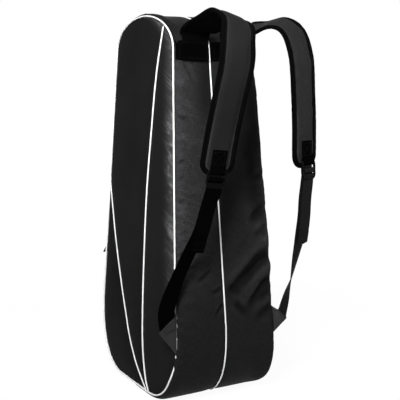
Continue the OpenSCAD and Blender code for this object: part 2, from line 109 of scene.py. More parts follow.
# cosine and sine of even turns round a circle; a power above 2 squares the circle
def roundTurn(count, power=2.0):
    a = np.linspace(0, 2 * np.pi, count, endpoint=False)
    return [np.sign(q) * np.abs(q) ** (2 / power) for q in (np.cos(a), np.sin(a))]


# turn about the x axis
def turnX(angle):
    c, q = math.cos(angle), math.sin(angle)
    return np.array([[1, 0, 0], [0, c, -q], [0, q, c]])


# smooth value noise: seeded random heights on a lattice, eased between the lattice points
def softNoise(a, b, seed):
    size = 64
    table = np.random.default_rng(seed).random((size, size)) * 2 - 1
    a, b = np.broadcast_arrays(np.asarray(a, float), np.asarray(b, float))
    i, j = np.floor(a).astype(int), np.floor(b).astype(int)
    f, g = ease(0, 1, a - i), ease(0, 1, b - j)
    low = mix(table[i % size, j % size], table[(i + 1) % size, j % size], f)
    high = mix(table[i % size, (j + 1) % size], table[(i + 1) % size, (j + 1) % size], f)
    return mix(low, high, g)


# noise of a cloth, from its height, its pitch along and across, and its seed
def clothNoise(noise, along, across, shift=0):
    height, pitchAlong, pitchAcross, seed = noise
    return height * softNoise(along / pitchAlong, across / pitchAcross, seed + shift)


# narrow raised lines where a noise passes through zero
def ridges(noise):
    return np.maximum(0, 1 - np.abs(noise) / 0.3)


# smooth curve through points: each span is a cubic set by its four nearest points
def spline(knots, count):
    p = np.asarray(knots, float)
    q = np.vstack([2 * p[0] - p[1], p, 2 * p[-1] - p[-2]])
    t = np.linspace(0, len(p) - 1, count)
    i = np.minimum(t.astype(int), len(p) - 2)
    f = (t - i)[:, None]
    a, b, c, d = q[i], q[i + 1], q[i + 2], q[i + 3]
    return 0.5 * (2 * b + (c - a) * f + (2 * a - 5 * b + 4 * c - d) * f**2 + (3 * b - a - 3 * c + d) * f**3)


# running length of a path's first three columns
def runningLength(path):
    return np.concatenate([[0], np.cumsum(np.linalg.norm(np.diff(path[:, :3], axis=0), axis=1))])


# columns of a table, read at places along its run
def readAt(at, run, table):
    return np.stack([np.interp(at, run, column) for column in np.transpose(table)], -1)


# the same path at even steps of its length
def evenPath(path, step):
    run = runningLength(path)
    return readAt(np.linspace(0, run[-1], max(2, int(round(run[-1] / step)) + 1)), run, path)


# directions made square to a run
def squareTo(run, wide):
    wide = np.broadcast_to(np.asarray(wide, float), run.shape)
    return unit(wide - run * np.einsum("ij,ij->i", wide, run)[:, None])


# A part is its points, and its faces in groups of equal corners, each with corner uvs and a finish slot.
def partOf(places, groups):
    return {"points": np.asarray(places, float).reshape(-1, 3), "groups": groups}


# distance along a grid's rows and columns, used as uv in metres
def gridUv(grid, wrapRows=False, wrapCols=False):
    g = np.concatenate([grid, grid[:1]], 0) if wrapRows else grid
    g = np.concatenate([g, g[:, :1]], 1) if wrapCols else g
    u = np.concatenate([[0], np.cumsum(np.linalg.norm(np.diff(g, axis=0), axis=2).mean(1))])
    v = np.concatenate([[0], np.cumsum(np.linalg.norm(np.diff(g, axis=1), axis=2).mean(0))])
    return points(v[None, :], u[:, None])


# a group's faces turned round
def turned(group):
    return dict(group, faces=group["faces"][:, ::-1], uv=group["uv"][:, ::-1])


# quads between the neighbours of a grid, whose rows or columns may wrap round to their start
def gridGroup(grid, uv, slot=0, wrapRows=False, wrapCols=False, start=0):
    rows, cols = grid.shape[:2]
    a, b = np.meshgrid(np.arange(rows - 1 + wrapRows), np.arange(cols - 1 + wrapCols), indexing="ij")
    r = np.stack([a, a + 1, a + 1, a], -1).reshape(-1, 4)
    c = np.stack([b, b, b + 1, b + 1], -1).reshape(-1, 4)
    return {"faces": start + (r % rows) * cols + c % cols, "uv": uv[r, c], "slot": slot}


# six times the signed volume, from fans over each face
def signedVolume(part):
    total = 0.0
    for g in part["groups"]:
        corner = part["points"][g["faces"]]
        for k in range(1, corner.shape[1] - 1):
            total += np.einsum("ij,ij->", corner[:, 0], np.cross(corner[:, k], corner[:, k + 1]))
    return total


# faces turned round where a closed part is inside out
def outward(part):
    if signedVolume(part) < 0:
        part["groups"] = [turned(g) for g in part["groups"]]
    return part


# closed wall: an outer grid, the inner grid behind it, and a strip round the four edges
def wallPart(outer, inner, innerSlot=0):
    rows, cols = outer.shape[:2]
    total = rows * cols
    uv = gridUv(outer)
    ring = np.concatenate([np.arange(cols), np.arange(1, rows) * cols + cols - 1,
                           (rows - 1) * cols + np.arange(cols - 2, -1, -1),
                           np.arange(rows - 2, 0, -1) * cols])
    after = np.roll(ring, -1)
    flat = uv.reshape(-1, 2)
    strip = {"faces": np.stack([ring, after, after + total, ring + total], -1),
             "uv": np.stack([flat[ring], flat[after], flat[after], flat[ring]], 1), "slot": 0}
    back = turned(gridGroup(inner, uv, innerSlot, start=total))
    return outward(partOf(np.concatenate([outer.reshape(-1, 3), inner.reshape(-1, 3)]),
                          [gridGroup(outer, uv), back, strip]))


# closed solid through a row of rings; an open row ends in one flat face at each end
def ringPart(rings, closedRow=False):
    rows, cols = rings.shape[:2]
    groups = [gridGroup(rings, gridUv(rings, closedRow, True), wrapRows=closedRow, wrapCols=True)]
    if not closedRow:
        ends = np.stack([np.arange(cols), (rows - 1) * cols + np.arange(cols)[::-1]])
        disc = 0.002 * points(*roundTurn(cols))
        groups.append({"faces": ends, "uv": np.stack([disc, disc[::-1]]), "slot": 0})
    return outward(partOf(rings, groups))


# many small solids of one pattern, each with its own rings
def manyParts(rings, slot=0):
    count, rows, cols = rings.shape[:3]
    start = (np.arange(count) * rows * cols)[:, None, None]
    groups = [{"faces": (g["faces"][None] + start).reshape(-1, g["faces"].shape[1]),
               "uv": np.tile(g["uv"], (count, 1, 1)), "slot": slot} for g in ringPart(rings[0])["groups"]]
    return outward(partOf(rings, groups))


# several parts as one
def joined(parts):
    starts = np.cumsum([0] + [len(p["points"]) for p in parts])
    groups = [dict(g, faces=g["faces"] + start) for p, start in zip(parts, starts) for g in p["groups"]]
    return partOf(np.concatenate([p["points"] for p in parts]), groups)


# round tube along a path: rings square to the path and to an up direction
def tubePart(path, radius, count, closed=False, up=(1, 0, 0)):
    run = unit(np.roll(path, -1, 0) - np.roll(path, 1, 0)) if closed else unit(np.gradient(path, axis=0))
    first = unit(np.cross(run, np.broadcast_to(np.asarray(up, float), run.shape)))
    second = np.cross(run, first)
    c, q = (turn[None, :, None] for turn in roundTurn(count))
    size = np.broadcast_to(radius, len(path))[:, None, None]
    return ringPart(path[:, None] + size * (c * first[:, None] + q * second[:, None]), closed)


# share of the full size near a path's ends, a quarter circle of the given radius that stops short of a point
def endRounding(path, radius, nearest, smallest):
    run = runningLength(path)
    near = np.clip(np.minimum(run, run[-1] - run) / radius, nearest, 1)
    return np.sqrt(np.clip(1 - (1 - near) ** 2, smallest, 1))


# bar along a path with a rounded oblong section, rounded off at both ends
def barPart(path, halfWide, halfThick, wide, count=16, power=3.0):
    run = unit(np.gradient(path, axis=0))
    wide = squareTo(run, wide)
    thick = np.cross(run, wide)
    c, q = (turn[None, :, None] for turn in roundTurn(count, power))
    close = endRounding(path, min(np.min(halfWide), np.min(halfThick)), 0.06, 0.05)[:, None, None]
    w, t = (np.broadcast_to(h, len(path))[:, None, None] for h in (halfWide, halfThick))
    return ringPart(path[:, None] + close * (w * c * wide[:, None] + t * q * thick[:, None]))


# points from a to b, packed a little closer at the ends
def stroke(a, b, count=15):
    return mix(np.asarray(a, float), np.asarray(b, float), packed(count, 0.6)[:, None])


# a mesh object from a part, shaded smooth up to sharp folds; its marks of painted light, painted shade and
# wear say how far both walls are lightened
def addMesh(name, part, materials, sharp=42.0, marks=None):
    mesh = bpy.data.meshes.new(name)
    groups = part["groups"]
    mesh.from_pydata(part["points"].tolist(), [], [f for g in groups for f in g["faces"].tolist()])
    uv = np.concatenate([g["uv"].reshape(-1) for g in groups]).astype(np.float32)
    mesh.uv_layers.new(name="cloth").data.foreach_set("uv", uv)
    for material in materials:
        mesh.materials.append(material)
    slots = np.concatenate([np.full(len(g["faces"]), g["slot"], np.int32) for g in groups])
    mesh.polygons.foreach_set("material_index", slots)
    # the seam attribute holds the marks of painted light, painted shade and wear
    if marks is not None:
        values = np.tile(marks.ravel(), 2).astype(np.float32)
        mesh.attributes.new("seam", "FLOAT", "POINT").data.foreach_set("value", values)
    mesh.shade_smooth()
    mesh.set_sharp_from_angle(angle=math.radians(sharp))
    mesh.update()
    obj = bpy.data.objects.new(name, mesh)
    scene.collection.objects.link(obj)
    return obj


# a piece rides one body, or stays where it stands when given two, and stands for its solids
def addPiece(name, part, materials, body, slot, nodes=(), **look):
    obj = addMesh(name, part, materials, **look)
    if isinstance(body, str):
        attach(obj, body)
    else:
        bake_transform(obj)
    if nodes:
        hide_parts(*nodes)
    return obj


# a socket takes another socket's output or a plain value
def feed(tree, value, socket):
    if isinstance(value, bpy.types.NodeSocket):
        tree.links.new(value, socket)
    elif value is not None:
        socket.default_value = value


# a node with its settings, and what goes into its inputs
def addNode(tree, kind, inputs=(), **settings):
    node = tree.nodes.new(kind)
    for key, value in settings.items():
        setattr(node, key, value)
    for key, value in dict(inputs).items():
        feed(tree, value, node.inputs[key])
    return node


# one math node's output
def calc(tree, operation, a, b=None, clamp=False):
    return addNode(tree, "ShaderNodeMath", {0: a, 1: b}, operation=operation, use_clamp=clamp).outputs[0]


# a value moved in a straight line from one span to another
def spread(tree, value, span, target):
    ends = {"From Min": span[0], "From Max": span[1], "To Min": target[0], "To Max": target[1]}
    return addNode(tree, "ShaderNodeMapRange", {"Value": value, **ends}).outputs[0]


# colour between two tones, by a factor that changes over the surface
def toneMix(tree, factor, dark, light):
    dark, light = (q if isinstance(q, bpy.types.NodeSocket) else (*q, 1) for q in (dark, light))
    node = addNode(tree, "ShaderNodeMix", {"A": dark, "B": light, "Factor": factor}, data_type="RGBA")
    return node.outputs["Result"]


# a node group that takes a place and one setting and puts out values
def shaderGroup(name, setting, value, *outputs):
    group = bpy.data.node_groups.new(name, "ShaderNodeTree")
    group.interface.new_socket("Place", in_out="INPUT", socket_type="NodeSocketVector")
    group.interface.new_socket(setting, in_out="INPUT", socket_type="NodeSocketFloat").default_value = value
    for label in outputs:
        group.interface.new_socket(label, in_out="OUTPUT", socket_type="NodeSocketFloat")
    given = group.nodes.new("NodeGroupInput").outputs
    return group, given["Place"], given[setting], group.nodes.new("NodeGroupOutput").inputs


# plain weave: two sets of threads, each a half sine across, that take turns on top; slubs are noise drawn
# out along them
def makeWeave():
    group, place, threads, made = shaderGroup("plainWeave", "Threads", 1100.0, "Height", "Slub")
    split = addNode(group, "ShaderNodeSeparateXYZ", {0: place}).outputs
    turns = [calc(group, "MULTIPLY", split[k], threads) for k in (0, 1)]
    waves = [calc(group, "SINE", calc(group, "MULTIPLY", t, math.pi)) for t in turns]
    over = calc(group, "GREATER_THAN", calc(group, "MULTIPLY", *waves), 0.0)
    first = calc(group, "MULTIPLY", calc(group, "ABSOLUTE", waves[0]), over)
    second = calc(group, "MULTIPLY", calc(group, "ABSOLUTE", waves[1]), calc(group, "SUBTRACT", 1.0, over))
    feed(group, calc(group, "ADD", first, second), made["Height"])
    slubs = []
    for scale in ((90.0, 700.0, 1.0), (700.0, 90.0, 1.0)):
        drawn = addNode(group, "ShaderNodeMapping", {"Vector": place, "Scale": scale}).outputs[0]
        noise = addNode(group, "ShaderNodeTexNoise", {"Vector": drawn, "Scale": 1.0, "Detail": 2.0})
        slubs.append(noise.outputs[0])
    feed(group, calc(group, "MULTIPLY", calc(group, "ADD", *slubs), 0.5), made["Slub"])
    return group


# slow drift of tone over a piece, with a finer cloud on top
def makeDrift():
    group, place, scale, made = shaderGroup("toneDrift", "Scale", 9.0, "Drift")
    cloud = {"Vector": place, "Scale": scale, "Detail": 4.0, "Roughness": 0.55}
    feed(group, addNode(group, "ShaderNodeTexNoise", cloud).outputs[0], made["Drift"])
    return group


# webbing ribs: a zigzag across, and a sine along that leans with the zigzag
def makeRibs():
    group, place, pitch, made = shaderGroup("webRibs", "Pitch", 0.0022, "Height")
    split = addNode(group, "ShaderNodeSeparateXYZ", {0: place}).outputs
    rib = calc(group, "PINGPONG", split[0], pitch)
    lean = calc(group, "DIVIDE", calc(group, "ADD", split[1], rib), pitch)
    wave = calc(group, "SINE", calc(group, "MULTIPLY", lean, 2 * math.pi))
    height = calc(group, "ADD", calc(group, "MULTIPLY", wave, 0.5), calc(group, "DIVIDE", rib, pitch))
    feed(group, height, made["Height"])
    return group


weaveGroup, driftGroup, ribGroup = makeWeave(), makeDrift(), makeRibs()


# a new material, its tree, and the places on its surface
def startMaterial(name):
    material = bpy.data.materials.new(name)
    material.use_nodes = True
    return material, material.node_tree, material.node_tree.nodes.new("ShaderNodeTexCoord").outputs


# outputs of a shared group at a place
def useGroup(tree, group, place, **values):
    return addNode(tree, "ShaderNodeGroup", {"Place": place, **values}, node_tree=group).outputs


# base colour, roughness that sways with a tone, bump from a height, plain gloss and metal
def finishMaterial(tree, look, base, tone, sway, height, strength):
    shader = tree.nodes["Principled BSDF"].inputs
    bump = {"Distance": look["bump"], "Strength": strength, "Height": height}
    feed(tree, base, shader["Base Color"])
    rough = spread(tree, tone, (0.3, 0.7), (look["rough"] + sway, look["rough"] - sway))
    feed(tree, rough, shader["Roughness"])
    feed(tree, addNode(tree, "ShaderNodeBump", bump).outputs[0], shader["Normal"])
    shader["Specular IOR Level"].default_value = look["gloss"]
    shader["Metallic"].default_value = look.get("metal", 0.0)


# cloth: tone from slow drift and thread slubs, lighter where its marks paint light and wear, weave and slubs
# as bump
def clothMaterial(name, look):
    material, tree, place = startMaterial(name)
    weave = useGroup(tree, weaveGroup, place["UV"], Threads=look["threads"])
    drift = useGroup(tree, driftGroup, place["Object"], Scale=look["drift"])["Drift"]
    slub = weave["Slub"]
    tone = calc(tree, "ADD", calc(tree, "MULTIPLY", drift, 0.6), calc(tree, "MULTIPLY", slub, 0.4))
    colour = np.array(look["colour"])
    share = spread(tree, tone, (0.36, 0.64), (0.0, 1.0))
    base = toneMix(tree, share, colour * (1 - look["vary"]), colour * (1 + look["vary"]))
    # painted light and wear: the marks, broken up by the slubs, mix the tone towards a lighter one; low marks
    # leave painted shade
    if "lightAndWearGain" in look:
        seam = addNode(tree, "ShaderNodeAttribute", attribute_name="seam").outputs["Fac"]
        lightAndWear = calc(tree, "MULTIPLY", seam, spread(tree, slub, (0.35, 0.65), (0.3, 1.0)), clamp=True)
        base = toneMix(tree, lightAndWear, base, colour * look["lightAndWearGain"])
    finishMaterial(tree, look, base, tone, 0.06, calc(tree, "ADD", weave["Height"], slub), 0.8)
    return material


# webbing and binding: tone from slow drift, ribs as bump
def webMaterial(name, look):
    material, tree, place = startMaterial(name)
    ribs = useGroup(tree, ribGroup, place["UV"], Pitch=look["pitch"])["Height"]
    drift = useGroup(tree, driftGroup, place["Object"], Scale=14.0)["Drift"]
    colour = np.array(look["colour"])
    finishMaterial(tree, look, toneMix(tree, drift, colour * 0.7, colour * 1.3), drift, 0.05, ribs, 0.9)
    return material


# moulded or cast pieces: a fine grain as bump, with tone and roughness that drift
def solidMaterial(name, look):
    material, tree, place = startMaterial(name)
    grain, drift = (useGroup(tree, driftGroup, place["Object"], Scale=look["grain"] * k)["Drift"]
                    for k in (1, 0.04))
    colour = np.array(look["colour"])
    finishMaterial(tree, look, toneMix(tree, drift, colour * 0.85, colour * 1.15), drift, -0.06, grain, 1.0)
    return material


# each cloth's light and wear gain sets how much lighter painted light and wear make its tone
clothLooks = {
    "gusset": {"colour": (0.0046, 0.0046, 0.0048), "threads": 1100, "drift": 7, "vary": 0.18, "rough": 0.58,
               "gloss": 0.026, "bump": 0.00022, "lightAndWearGain": 10.6},
    "face": {"colour": (0.0088, 0.0088, 0.0091), "threads": 1100, "drift": 6, "vary": 0.16, "rough": 0.66,
             "gloss": 0.014, "bump": 0.00020, "lightAndWearGain": 24.0},
    "lining": {"colour": (0.055, 0.056, 0.060), "threads": 1600, "drift": 12, "vary": 0.08, "rough": 0.62,
               "gloss": 0.25, "bump": 0.00012},
    "pad": {"colour": (0.0115, 0.0115, 0.0119), "threads": 1000, "drift": 10, "vary": 0.16, "rough": 0.68,
            "gloss": 0.03, "bump": 0.00026, "lightAndWearGain": 3.2},
    "padBack": {"colour": (0.0009, 0.0009, 0.00095), "threads": 420, "drift": 18, "vary": 0.2, "rough": 0.9,
                "gloss": 0.02, "bump": 0.0006},
    "tab": {"colour": (0.030, 0.030, 0.031), "threads": 1000, "drift": 14, "vary": 0.14, "rough": 0.66,
            "gloss": 0.04, "bump": 0.00024},
    "tape": {"colour": (0.008, 0.008, 0.0085), "threads": 1300, "drift": 20, "vary": 0.12, "rough": 0.75,
             "gloss": 0.08, "bump": 0.00018},
    "piping": {"colour": (0.90, 0.90, 0.89), "threads": 1500, "drift": 16, "vary": 0.05, "rough": 0.50,
               "gloss": 0.35, "bump": 0.00012},
    "thread": {"colour": (0.0040, 0.0040, 0.0042), "threads": 3000, "drift": 60, "vary": 0.15, "rough": 0.6,
               "gloss": 0.08, "bump": 0.0001},
}
webLooks = {
    "webbingBlack": {"colour": (0.0009, 0.0009, 0.00095), "pitch": 0.0026, "bump": 0.0005, "rough": 0.85,
                     "gloss": 0.004},
    "webbingGrey": {"colour": (0.0075, 0.0075, 0.0078), "pitch": 0.0026, "bump": 0.0005, "rough": 0.80,
                    "gloss": 0.05},
    "bindingTape": {"colour": (0.0016, 0.0016, 0.0017), "pitch": 0.0014, "bump": 0.0003, "rough": 0.80,
                    "gloss": 0.010},
}
solidLooks = {
    "bucklePlastic": {"colour": (0.0011, 0.0011, 0.0012), "grain": 900, "bump": 0.00006, "rough": 0.50,
                      "gloss": 0.03},
    "teethNylon": {"colour": (0.010, 0.010, 0.0105), "grain": 1200, "bump": 0.00003, "rough": 0.36,
                   "gloss": 0.45},
    "sliderEnamel": {"colour": (0.030, 0.030, 0.031), "grain": 1500, "bump": 0.00003, "rough": 0.32,
                     "gloss": 0.5, "metal": 0.75},
    "pullRubber": {"colour": (0.012, 0.012, 0.0124), "grain": 1100, "bump": 0.00008, "rough": 0.66,
                   "gloss": 0.3},
    "boardFibre": {"colour": (0.075, 0.066, 0.056), "grain": 420, "bump": 0.00025, "rough": 0.85,
                   "gloss": 0.2},
}
cloth = {key: clothMaterial(key + "Cloth", look) for key, look in clothLooks.items()}
webbing = {key: webMaterial(key, look) for key, look in webLooks.items()}
solid = {key: solidMaterial(key, look) for key, look in solidLooks.items()}
print("finishes made:", len(bpy.data.materials))

# bag outline, the same values as the solids
bag = {"crown": 0.740, "baseHalf": 0.176, "shoulderHalf": 0.133, "depthHalf": 0.111,
       "slope": 0.0295 / 0.740, "corner": 0.155, "shoulder": 0.675, "flatHalf": 0.055, "flatEnd": 0.3,
       "power": 2 / 2.45, "seam": 0.010, "sag": 0.009, "dividerBase": 0.003, "dividerCrown": -0.016}
sides = {"left": -1, "right": 1}


# half the depth at a height: both faces lean in evenly
def halfDepth(z):
    return bag["depthHalf"] - bag["slope"] * z


# depth of the divider at a height: a straight lean to the left
def dividerX(z):
    return mix(bag["dividerBase"], bag["dividerCrown"], z / bag["crown"])


# half outline at step u, moved inward by inset: flat base, to 1 corner, to 2 straight side, to 3 crown arch
def outline(u, inset):
    u, inset = np.broadcast_arrays(np.asarray(u, float), np.asarray(inset, float))
    flat, flatEnd, corner, base = bag["flatHalf"], bag["flatEnd"], bag["corner"], bag["baseHalf"]
    a = np.clip((u - flatEnd) / (1 - flatEnd), 0, 1) * np.pi / 2
    b = np.clip(u - 2, 0, 1) * np.pi / 2
    t = np.clip(u - 1, 0, 1)
    cornerY = flat + (base - inset - flat) * np.sin(a) ** bag["power"]
    cornerZ = corner - (corner - inset) * np.clip(np.cos(a), 0, 1) ** bag["power"]
    archY = (bag["shoulderHalf"] - inset) * np.cos(b)
    archZ = mix(bag["shoulder"], bag["crown"] + bag["seam"] - inset, np.sin(b))
    stretch = [u <= flatEnd, u <= 1, u <= 2]
    y = np.select(stretch, [flat * u / flatEnd, cornerY, mix(base, bag["shoulderHalf"], t) - inset], archY)
    return y, np.select(stretch, [inset, cornerZ, mix(corner, bag["shoulder"], t)], archZ)


# between the faces the fabric hangs level with the crown seam, by a squared sine up the arch
def sagged(u, inset):
    return inset + np.maximum(0, bag["sag"] - inset) * np.sin(np.clip(u - 2, 0, 1) * np.pi / 2) ** 2


stepTable = np.linspace(0, 3, 6001)
arcTable = runningLength(points(*outline(stepTable, 0.0), 0.0))


# length along the outline at a step
def arcAt(u):
    return np.interp(u, stepTable, arcTable)


# outline steps at even spacing along the outline
def evenSteps(a, b, spacing):
    low, high = arcAt([a, b])
    return np.interp(np.linspace(low, high, int(abs(high - low) / spacing) + 2), arcTable, stepTable)


# half width of the gussets at a height: a straight side, then a quarter ellipse
def gussetY(z):
    corner, shoulder = bag["corner"], bag["shoulder"]
    straight = mix(bag["baseHalf"], bag["shoulderHalf"], (z - corner) / (shoulder - corner))
    rise = bag["crown"] + bag["seam"] - bag["sag"] - shoulder
    arch = bag["shoulderHalf"] * np.sqrt(np.clip(1 - ((z - shoulder) / rise) ** 2, 0, 1))
    return np.where(z <= shoulder, straight, arch)


# half width of the outline at a height, inset, or sagged and inset
def rimY(z, inset, hung=False):
    u = np.linspace(bag["flatEnd"], 3, 4000)
    y, heights = outline(u, sagged(u, 0.0) + inset if hung else inset)
    return np.interp(z, heights, y)


# creases pressed into the strap side: depth and height of both ends, then how deep and how wide
creases = {
    "left": [(-.068, .655, -.051, .618, .0030, .006), (-.076, .654, -.064, .640, .0018, .005),
             (-.055, .654, -.040, .634, .0020, .005), (-.097, .398, -.078, .401, .0014, .005),
             (-.099, .338, -.080, .341, .0016, .005), (-.086, .614, -.072, .622, .0014, .005),
             (-.094, .262, -.058, .286, .0018, .007), (-.060, .250, -.030, .270, .0014, .006),
             (-.024, .182, .000, .206, .0016, .005), (-.090, .470, -.074, .474, .0014, .005),
             (-.092, .438, -.076, .446, .0014, .005), (-.088, .556, -.066, .548, .0016, .006),
             (-.090, .520, -.076, .524, .0012, .005), (-.030, .224, -.004, .232, .0012, .006),
             (-.095, .300, -.074, .310, .0014, .005)],
    "right": [(.104, .300, .004, .214, .0030, .016), (.104, .288, .040, .236, .0020, .008),
              (.102, .246, .048, .186, .0028, .012), (.100, .222, .074, .194, .0018, .008),
              (.096, .380, .060, .352, .0022, .013), (.092, .340, .070, .322, .0014, .009),
              (.056, .654, .048, .622, .0024, .007), (.030, .654, .036, .626, .0020, .006),
              (.012, .232, .034, .218, .0014, .008), (.020, .200, .050, .172, .0016, .009),
              (.100, .186, .066, .160, .0018, .011), (.090, .440, .074, .428, .0014, .009),
              (.052, .500, .112, .312, .0018, .026)],
}
# painted shadows of the strap and pad: soft dark strokes on the gusset, the same ends, then how dark and how
# wide
paintedShadows = {"left": [(-.0262, .665, -.0270, .530, .8, .017)],
           "right": [(.036, .480, .090, .335, .75, .017), (.062, .640, .090, .430, .85, .024)]}


# a crease is a groove with raised lips that fades at both ends; without lips it is a soft stroke
def creaseDepth(x, z, lines, lips=1.3):
    depth = np.zeros_like(x)
    for ax, az, bx, bz, deep, width in lines:
        run = math.hypot(bx - ax, bz - az)
        ex, ez = (bx - ax) / run, (bz - az) / run
        t = ((x - ax) * ex + (z - az) * ez) / run
        d = ((x - ax) * ez - (z - az) * ex) / width
        depth = depth + deep * (1 - lips * d**2) * bell(d, 0, 1) * ease(-0.15, 0.25, t) * ease(1.15, 0.6, t)
    return depth


# rolls are height, middle and width of a bell beside the edge
gusset = {"wall": 0.0038, "edge": 0.0024, "zipEdge": 0.0302, "gap": 0.0014, "spacing": 0.0034,
          "columns": 50, "pack": 0.06, "shoulder": 0.0169, "shoulderFade": 0.0046, "baseShare": 0.45,
          "tuck": 0.0100, "tuckFade": 0.0014, "zipDrop": 0.0022, "zipFade": 0.004, "dip": 0.0030,
          "dipFade": 0.0065, "bulge": 0.0032, "bulgePower": 0.8, "roll": (0.0058, 0.006, 0.012),
          "rollOut": (0.0062, 0.004, 0.006), "rollStart": 0.0012, "crownRoll": (0.0040, 0.006, 0.008),
          "crease": 2.8, "offFloor": 0.0002, "fullest": -0.01, "puckerFade": 0.020,
          "puckerShare": {"left": 1.0, "right": 0.35, "zip": 0.3}, "dividerFade": 0.010}
rollHeights = [(0.03, 1.1), (0.09, 1.2), (0.15, 0.75), (0.19, 0.6), (0.27, 1.0), (0.40, 1.0), (0.46, 0.65),
               (0.60, 0.5), (0.64, 0.15), (0.66, 0.0)]
gussetNoise = {"crest": (1.0, 0.013, 0.045, 15), "edge": (0.0024, 0.009, 0.03, 11),
               "divider": (0.0007, 0.014, 0.02, 21), "slow": (0.0034, 0.075, 0.05, 31),
               "slant": (0.0018, 0.024, 0.07, 35), "fine": (0.0007, 0.013, 0.017, 38),
               "patches": (1.0, 0.06, 0.04, 39), "shift": 0.2}
# painted light and wear on the gussets: a plain lift everywhere and painted shade towards the crown; on the
# strap side also a painted lit strip beside the edge, wider on the left, painted highlights on crease lips
# and painted shade in crease grooves
gussetLightAndWear = {"all": 0.22, "crown": 0.45, "fade": {"left": 0.040, "right": 0.012}, "lip": (0.22, 0.0006),
             "groove": (0.4, 0.002)}


# a roll of cloth beside an edge, as a bell
def rolled(name, gap):
    height, middle, width = gusset[name]
    return height * bell(gap, middle, width)


# drop to the seam, an exponential of the gap: a soft shoulder on the left, a tight tuck on the right
def edgeShoulder(s, gap):
    if s < 0:
        return gusset["shoulder"] * fade(gap + gusset["edge"], gusset["shoulderFade"])
    return gusset["tuck"] * fade(gap, gusset["tuckFade"])


# the crown swells beside its seam, more the nearer the top
def crownRoll(step, gap):
    return np.sin(np.clip(step - 2, 0, 1) * np.pi / 2) * rolled("crownRoll", gap)


# slack cloth: slow waves, slanting folds, and small wrinkles in patches
def gussetSlack(s, end, arc, x):
    noise, shift = gussetNoise, s + end
    slow = clothNoise(noise["slow"], arc, x + noise["shift"], shift)
    slant = clothNoise(noise["slant"], arc - 1.1 * s * x, x + 0.7 * s * arc, shift)
    patches = ease(-0.4, 0.5, clothNoise(noise["patches"], arc, x))
    return slow + slant + clothNoise(noise["fine"], arc, x + noise["shift"], shift) * patches


# gusset points across from the face edge to the divider, and their painted light, painted shade and wear: the
# shoulder rounds into the seam, the divider seam pulls in, the middle swells a little, the seam edges pucker
# and creases are pressed in
def gussetGrid(s, end, u, wall):
    strapSide, side = end < 0, "left" if s < 0 else "right"
    edge = gusset["edge" if strapSide else "zipEdge"]
    w = np.linspace(0, 1, gusset["columns"])[None, :]
    w = w - gusset["pack"] * np.sin(2 * np.pi * w)
    step = u[:, None]
    arc, z = arcAt(step), outline(step, 0.0)[1]
    outer, inner = s * (halfDepth(z) - edge), dividerX(z) + s * gusset["gap"]
    x = mix(outer, inner, w)
    fromEdge, fromDivider = np.abs(x - outer), np.abs(x - inner)
    upright = ease(0.9, 1.15, step) * ease(2.05, 1.7, step)
    crest = ridges(clothNoise(gussetNoise["crest"], arc + 0.4 * fromEdge, fromEdge, s))
    edgePucker = clothNoise(gussetNoise["edge"], arc, fromEdge, s) - gussetNoise["edge"][0] * crest
    share = gusset["puckerShare"][side if strapSide else "zip"]
    edgePucker = edgePucker * fade(fromEdge, gusset["puckerFade"]) * share
    seamPucker = clothNoise(gussetNoise["divider"], arc, fromDivider, s)
    seamPucker = seamPucker * fade(fromDivider, gusset["dividerFade"])
    dip = gusset["dip"] * fade(fromDivider, gusset["dipFade"])
    swell = gusset["bulge"] * np.sin(np.pi * w) ** gusset["bulgePower"] * upright
    slack = gussetSlack(s, end, arc, x) * np.sin(np.pi * w) * upright
    inset = dip - swell + (edgePucker + seamPucker) * ease(0.5, 1.0, step) + slack
    full, fold = 0.0, 0 * x
    if strapSide:
        if s > 0:
            full = np.interp(z, *np.transpose(rollHeights)) * ease(0.42, 0.72, step)
        fold = creaseDepth(x, z, creases[side]) * upright * ease(-0.002, 0.010, fromEdge)
        shoulder = edgeShoulder(s, fromEdge) * mix(gusset["baseShare"], 1.0, ease(0.3, 0.95, step))
        inset = inset + shoulder - full * rolled("roll", fromEdge) + gusset["crease"] * fold
    else:
        inset = inset + gusset["zipDrop"] * fade(fromEdge, gusset["zipFade"])
    inset = np.where(step > 2, sagged(step, inset), inset) + wall
    if strapSide:
        inset = inset - crownRoll(step, fromEdge)
    least = np.where(step < 0.45, gusset["offFloor"] + wall, gusset["fullest"])
    rollOut = full * rolled("rollOut", fromEdge) * (1 - fade(fromEdge, gusset["rollStart"]))
    y, z = outline(step, np.maximum(inset, least))
    x = mix(s * (halfDepth(z) - edge), dividerX(z) + s * gusset["gap"], w) + s * rollOut
    # a plain lift of the tone, with painted shade towards the crown
    lightAndWear = gussetLightAndWear["all"] * mix(1.0, gussetLightAndWear["crown"], ease(2.0, 2.5, step)) + 0 * x
    if strapSide:
        # painted light: a lit strip beside the edge over the middle heights, brightest on the wrinkle crests
        height = ease(2.15, 1.9, step) * ease(0.16, 0.36, z)
        lightAndWear = lightAndWear + fade(fromEdge, gussetLightAndWear["fade"][side]) * height * mix(0.55, 1.0, crest)
        # painted highlights on the crease lips, painted shade in their grooves
        for (strength, depth), sign in ((gussetLightAndWear["lip"], -1), (gussetLightAndWear["groove"], 1)):
            lightAndWear = lightAndWear - sign * strength * np.clip(sign * fold / depth, 0, 1)
        # painted shadows of the strap and pad darken their strokes
        lightAndWear = lightAndWear * (1 - np.clip(creaseDepth(x, z, paintedShadows[side], 0.0), 0, 1))
    return points(x, end * y, z), np.clip(lightAndWear, 0, 1)


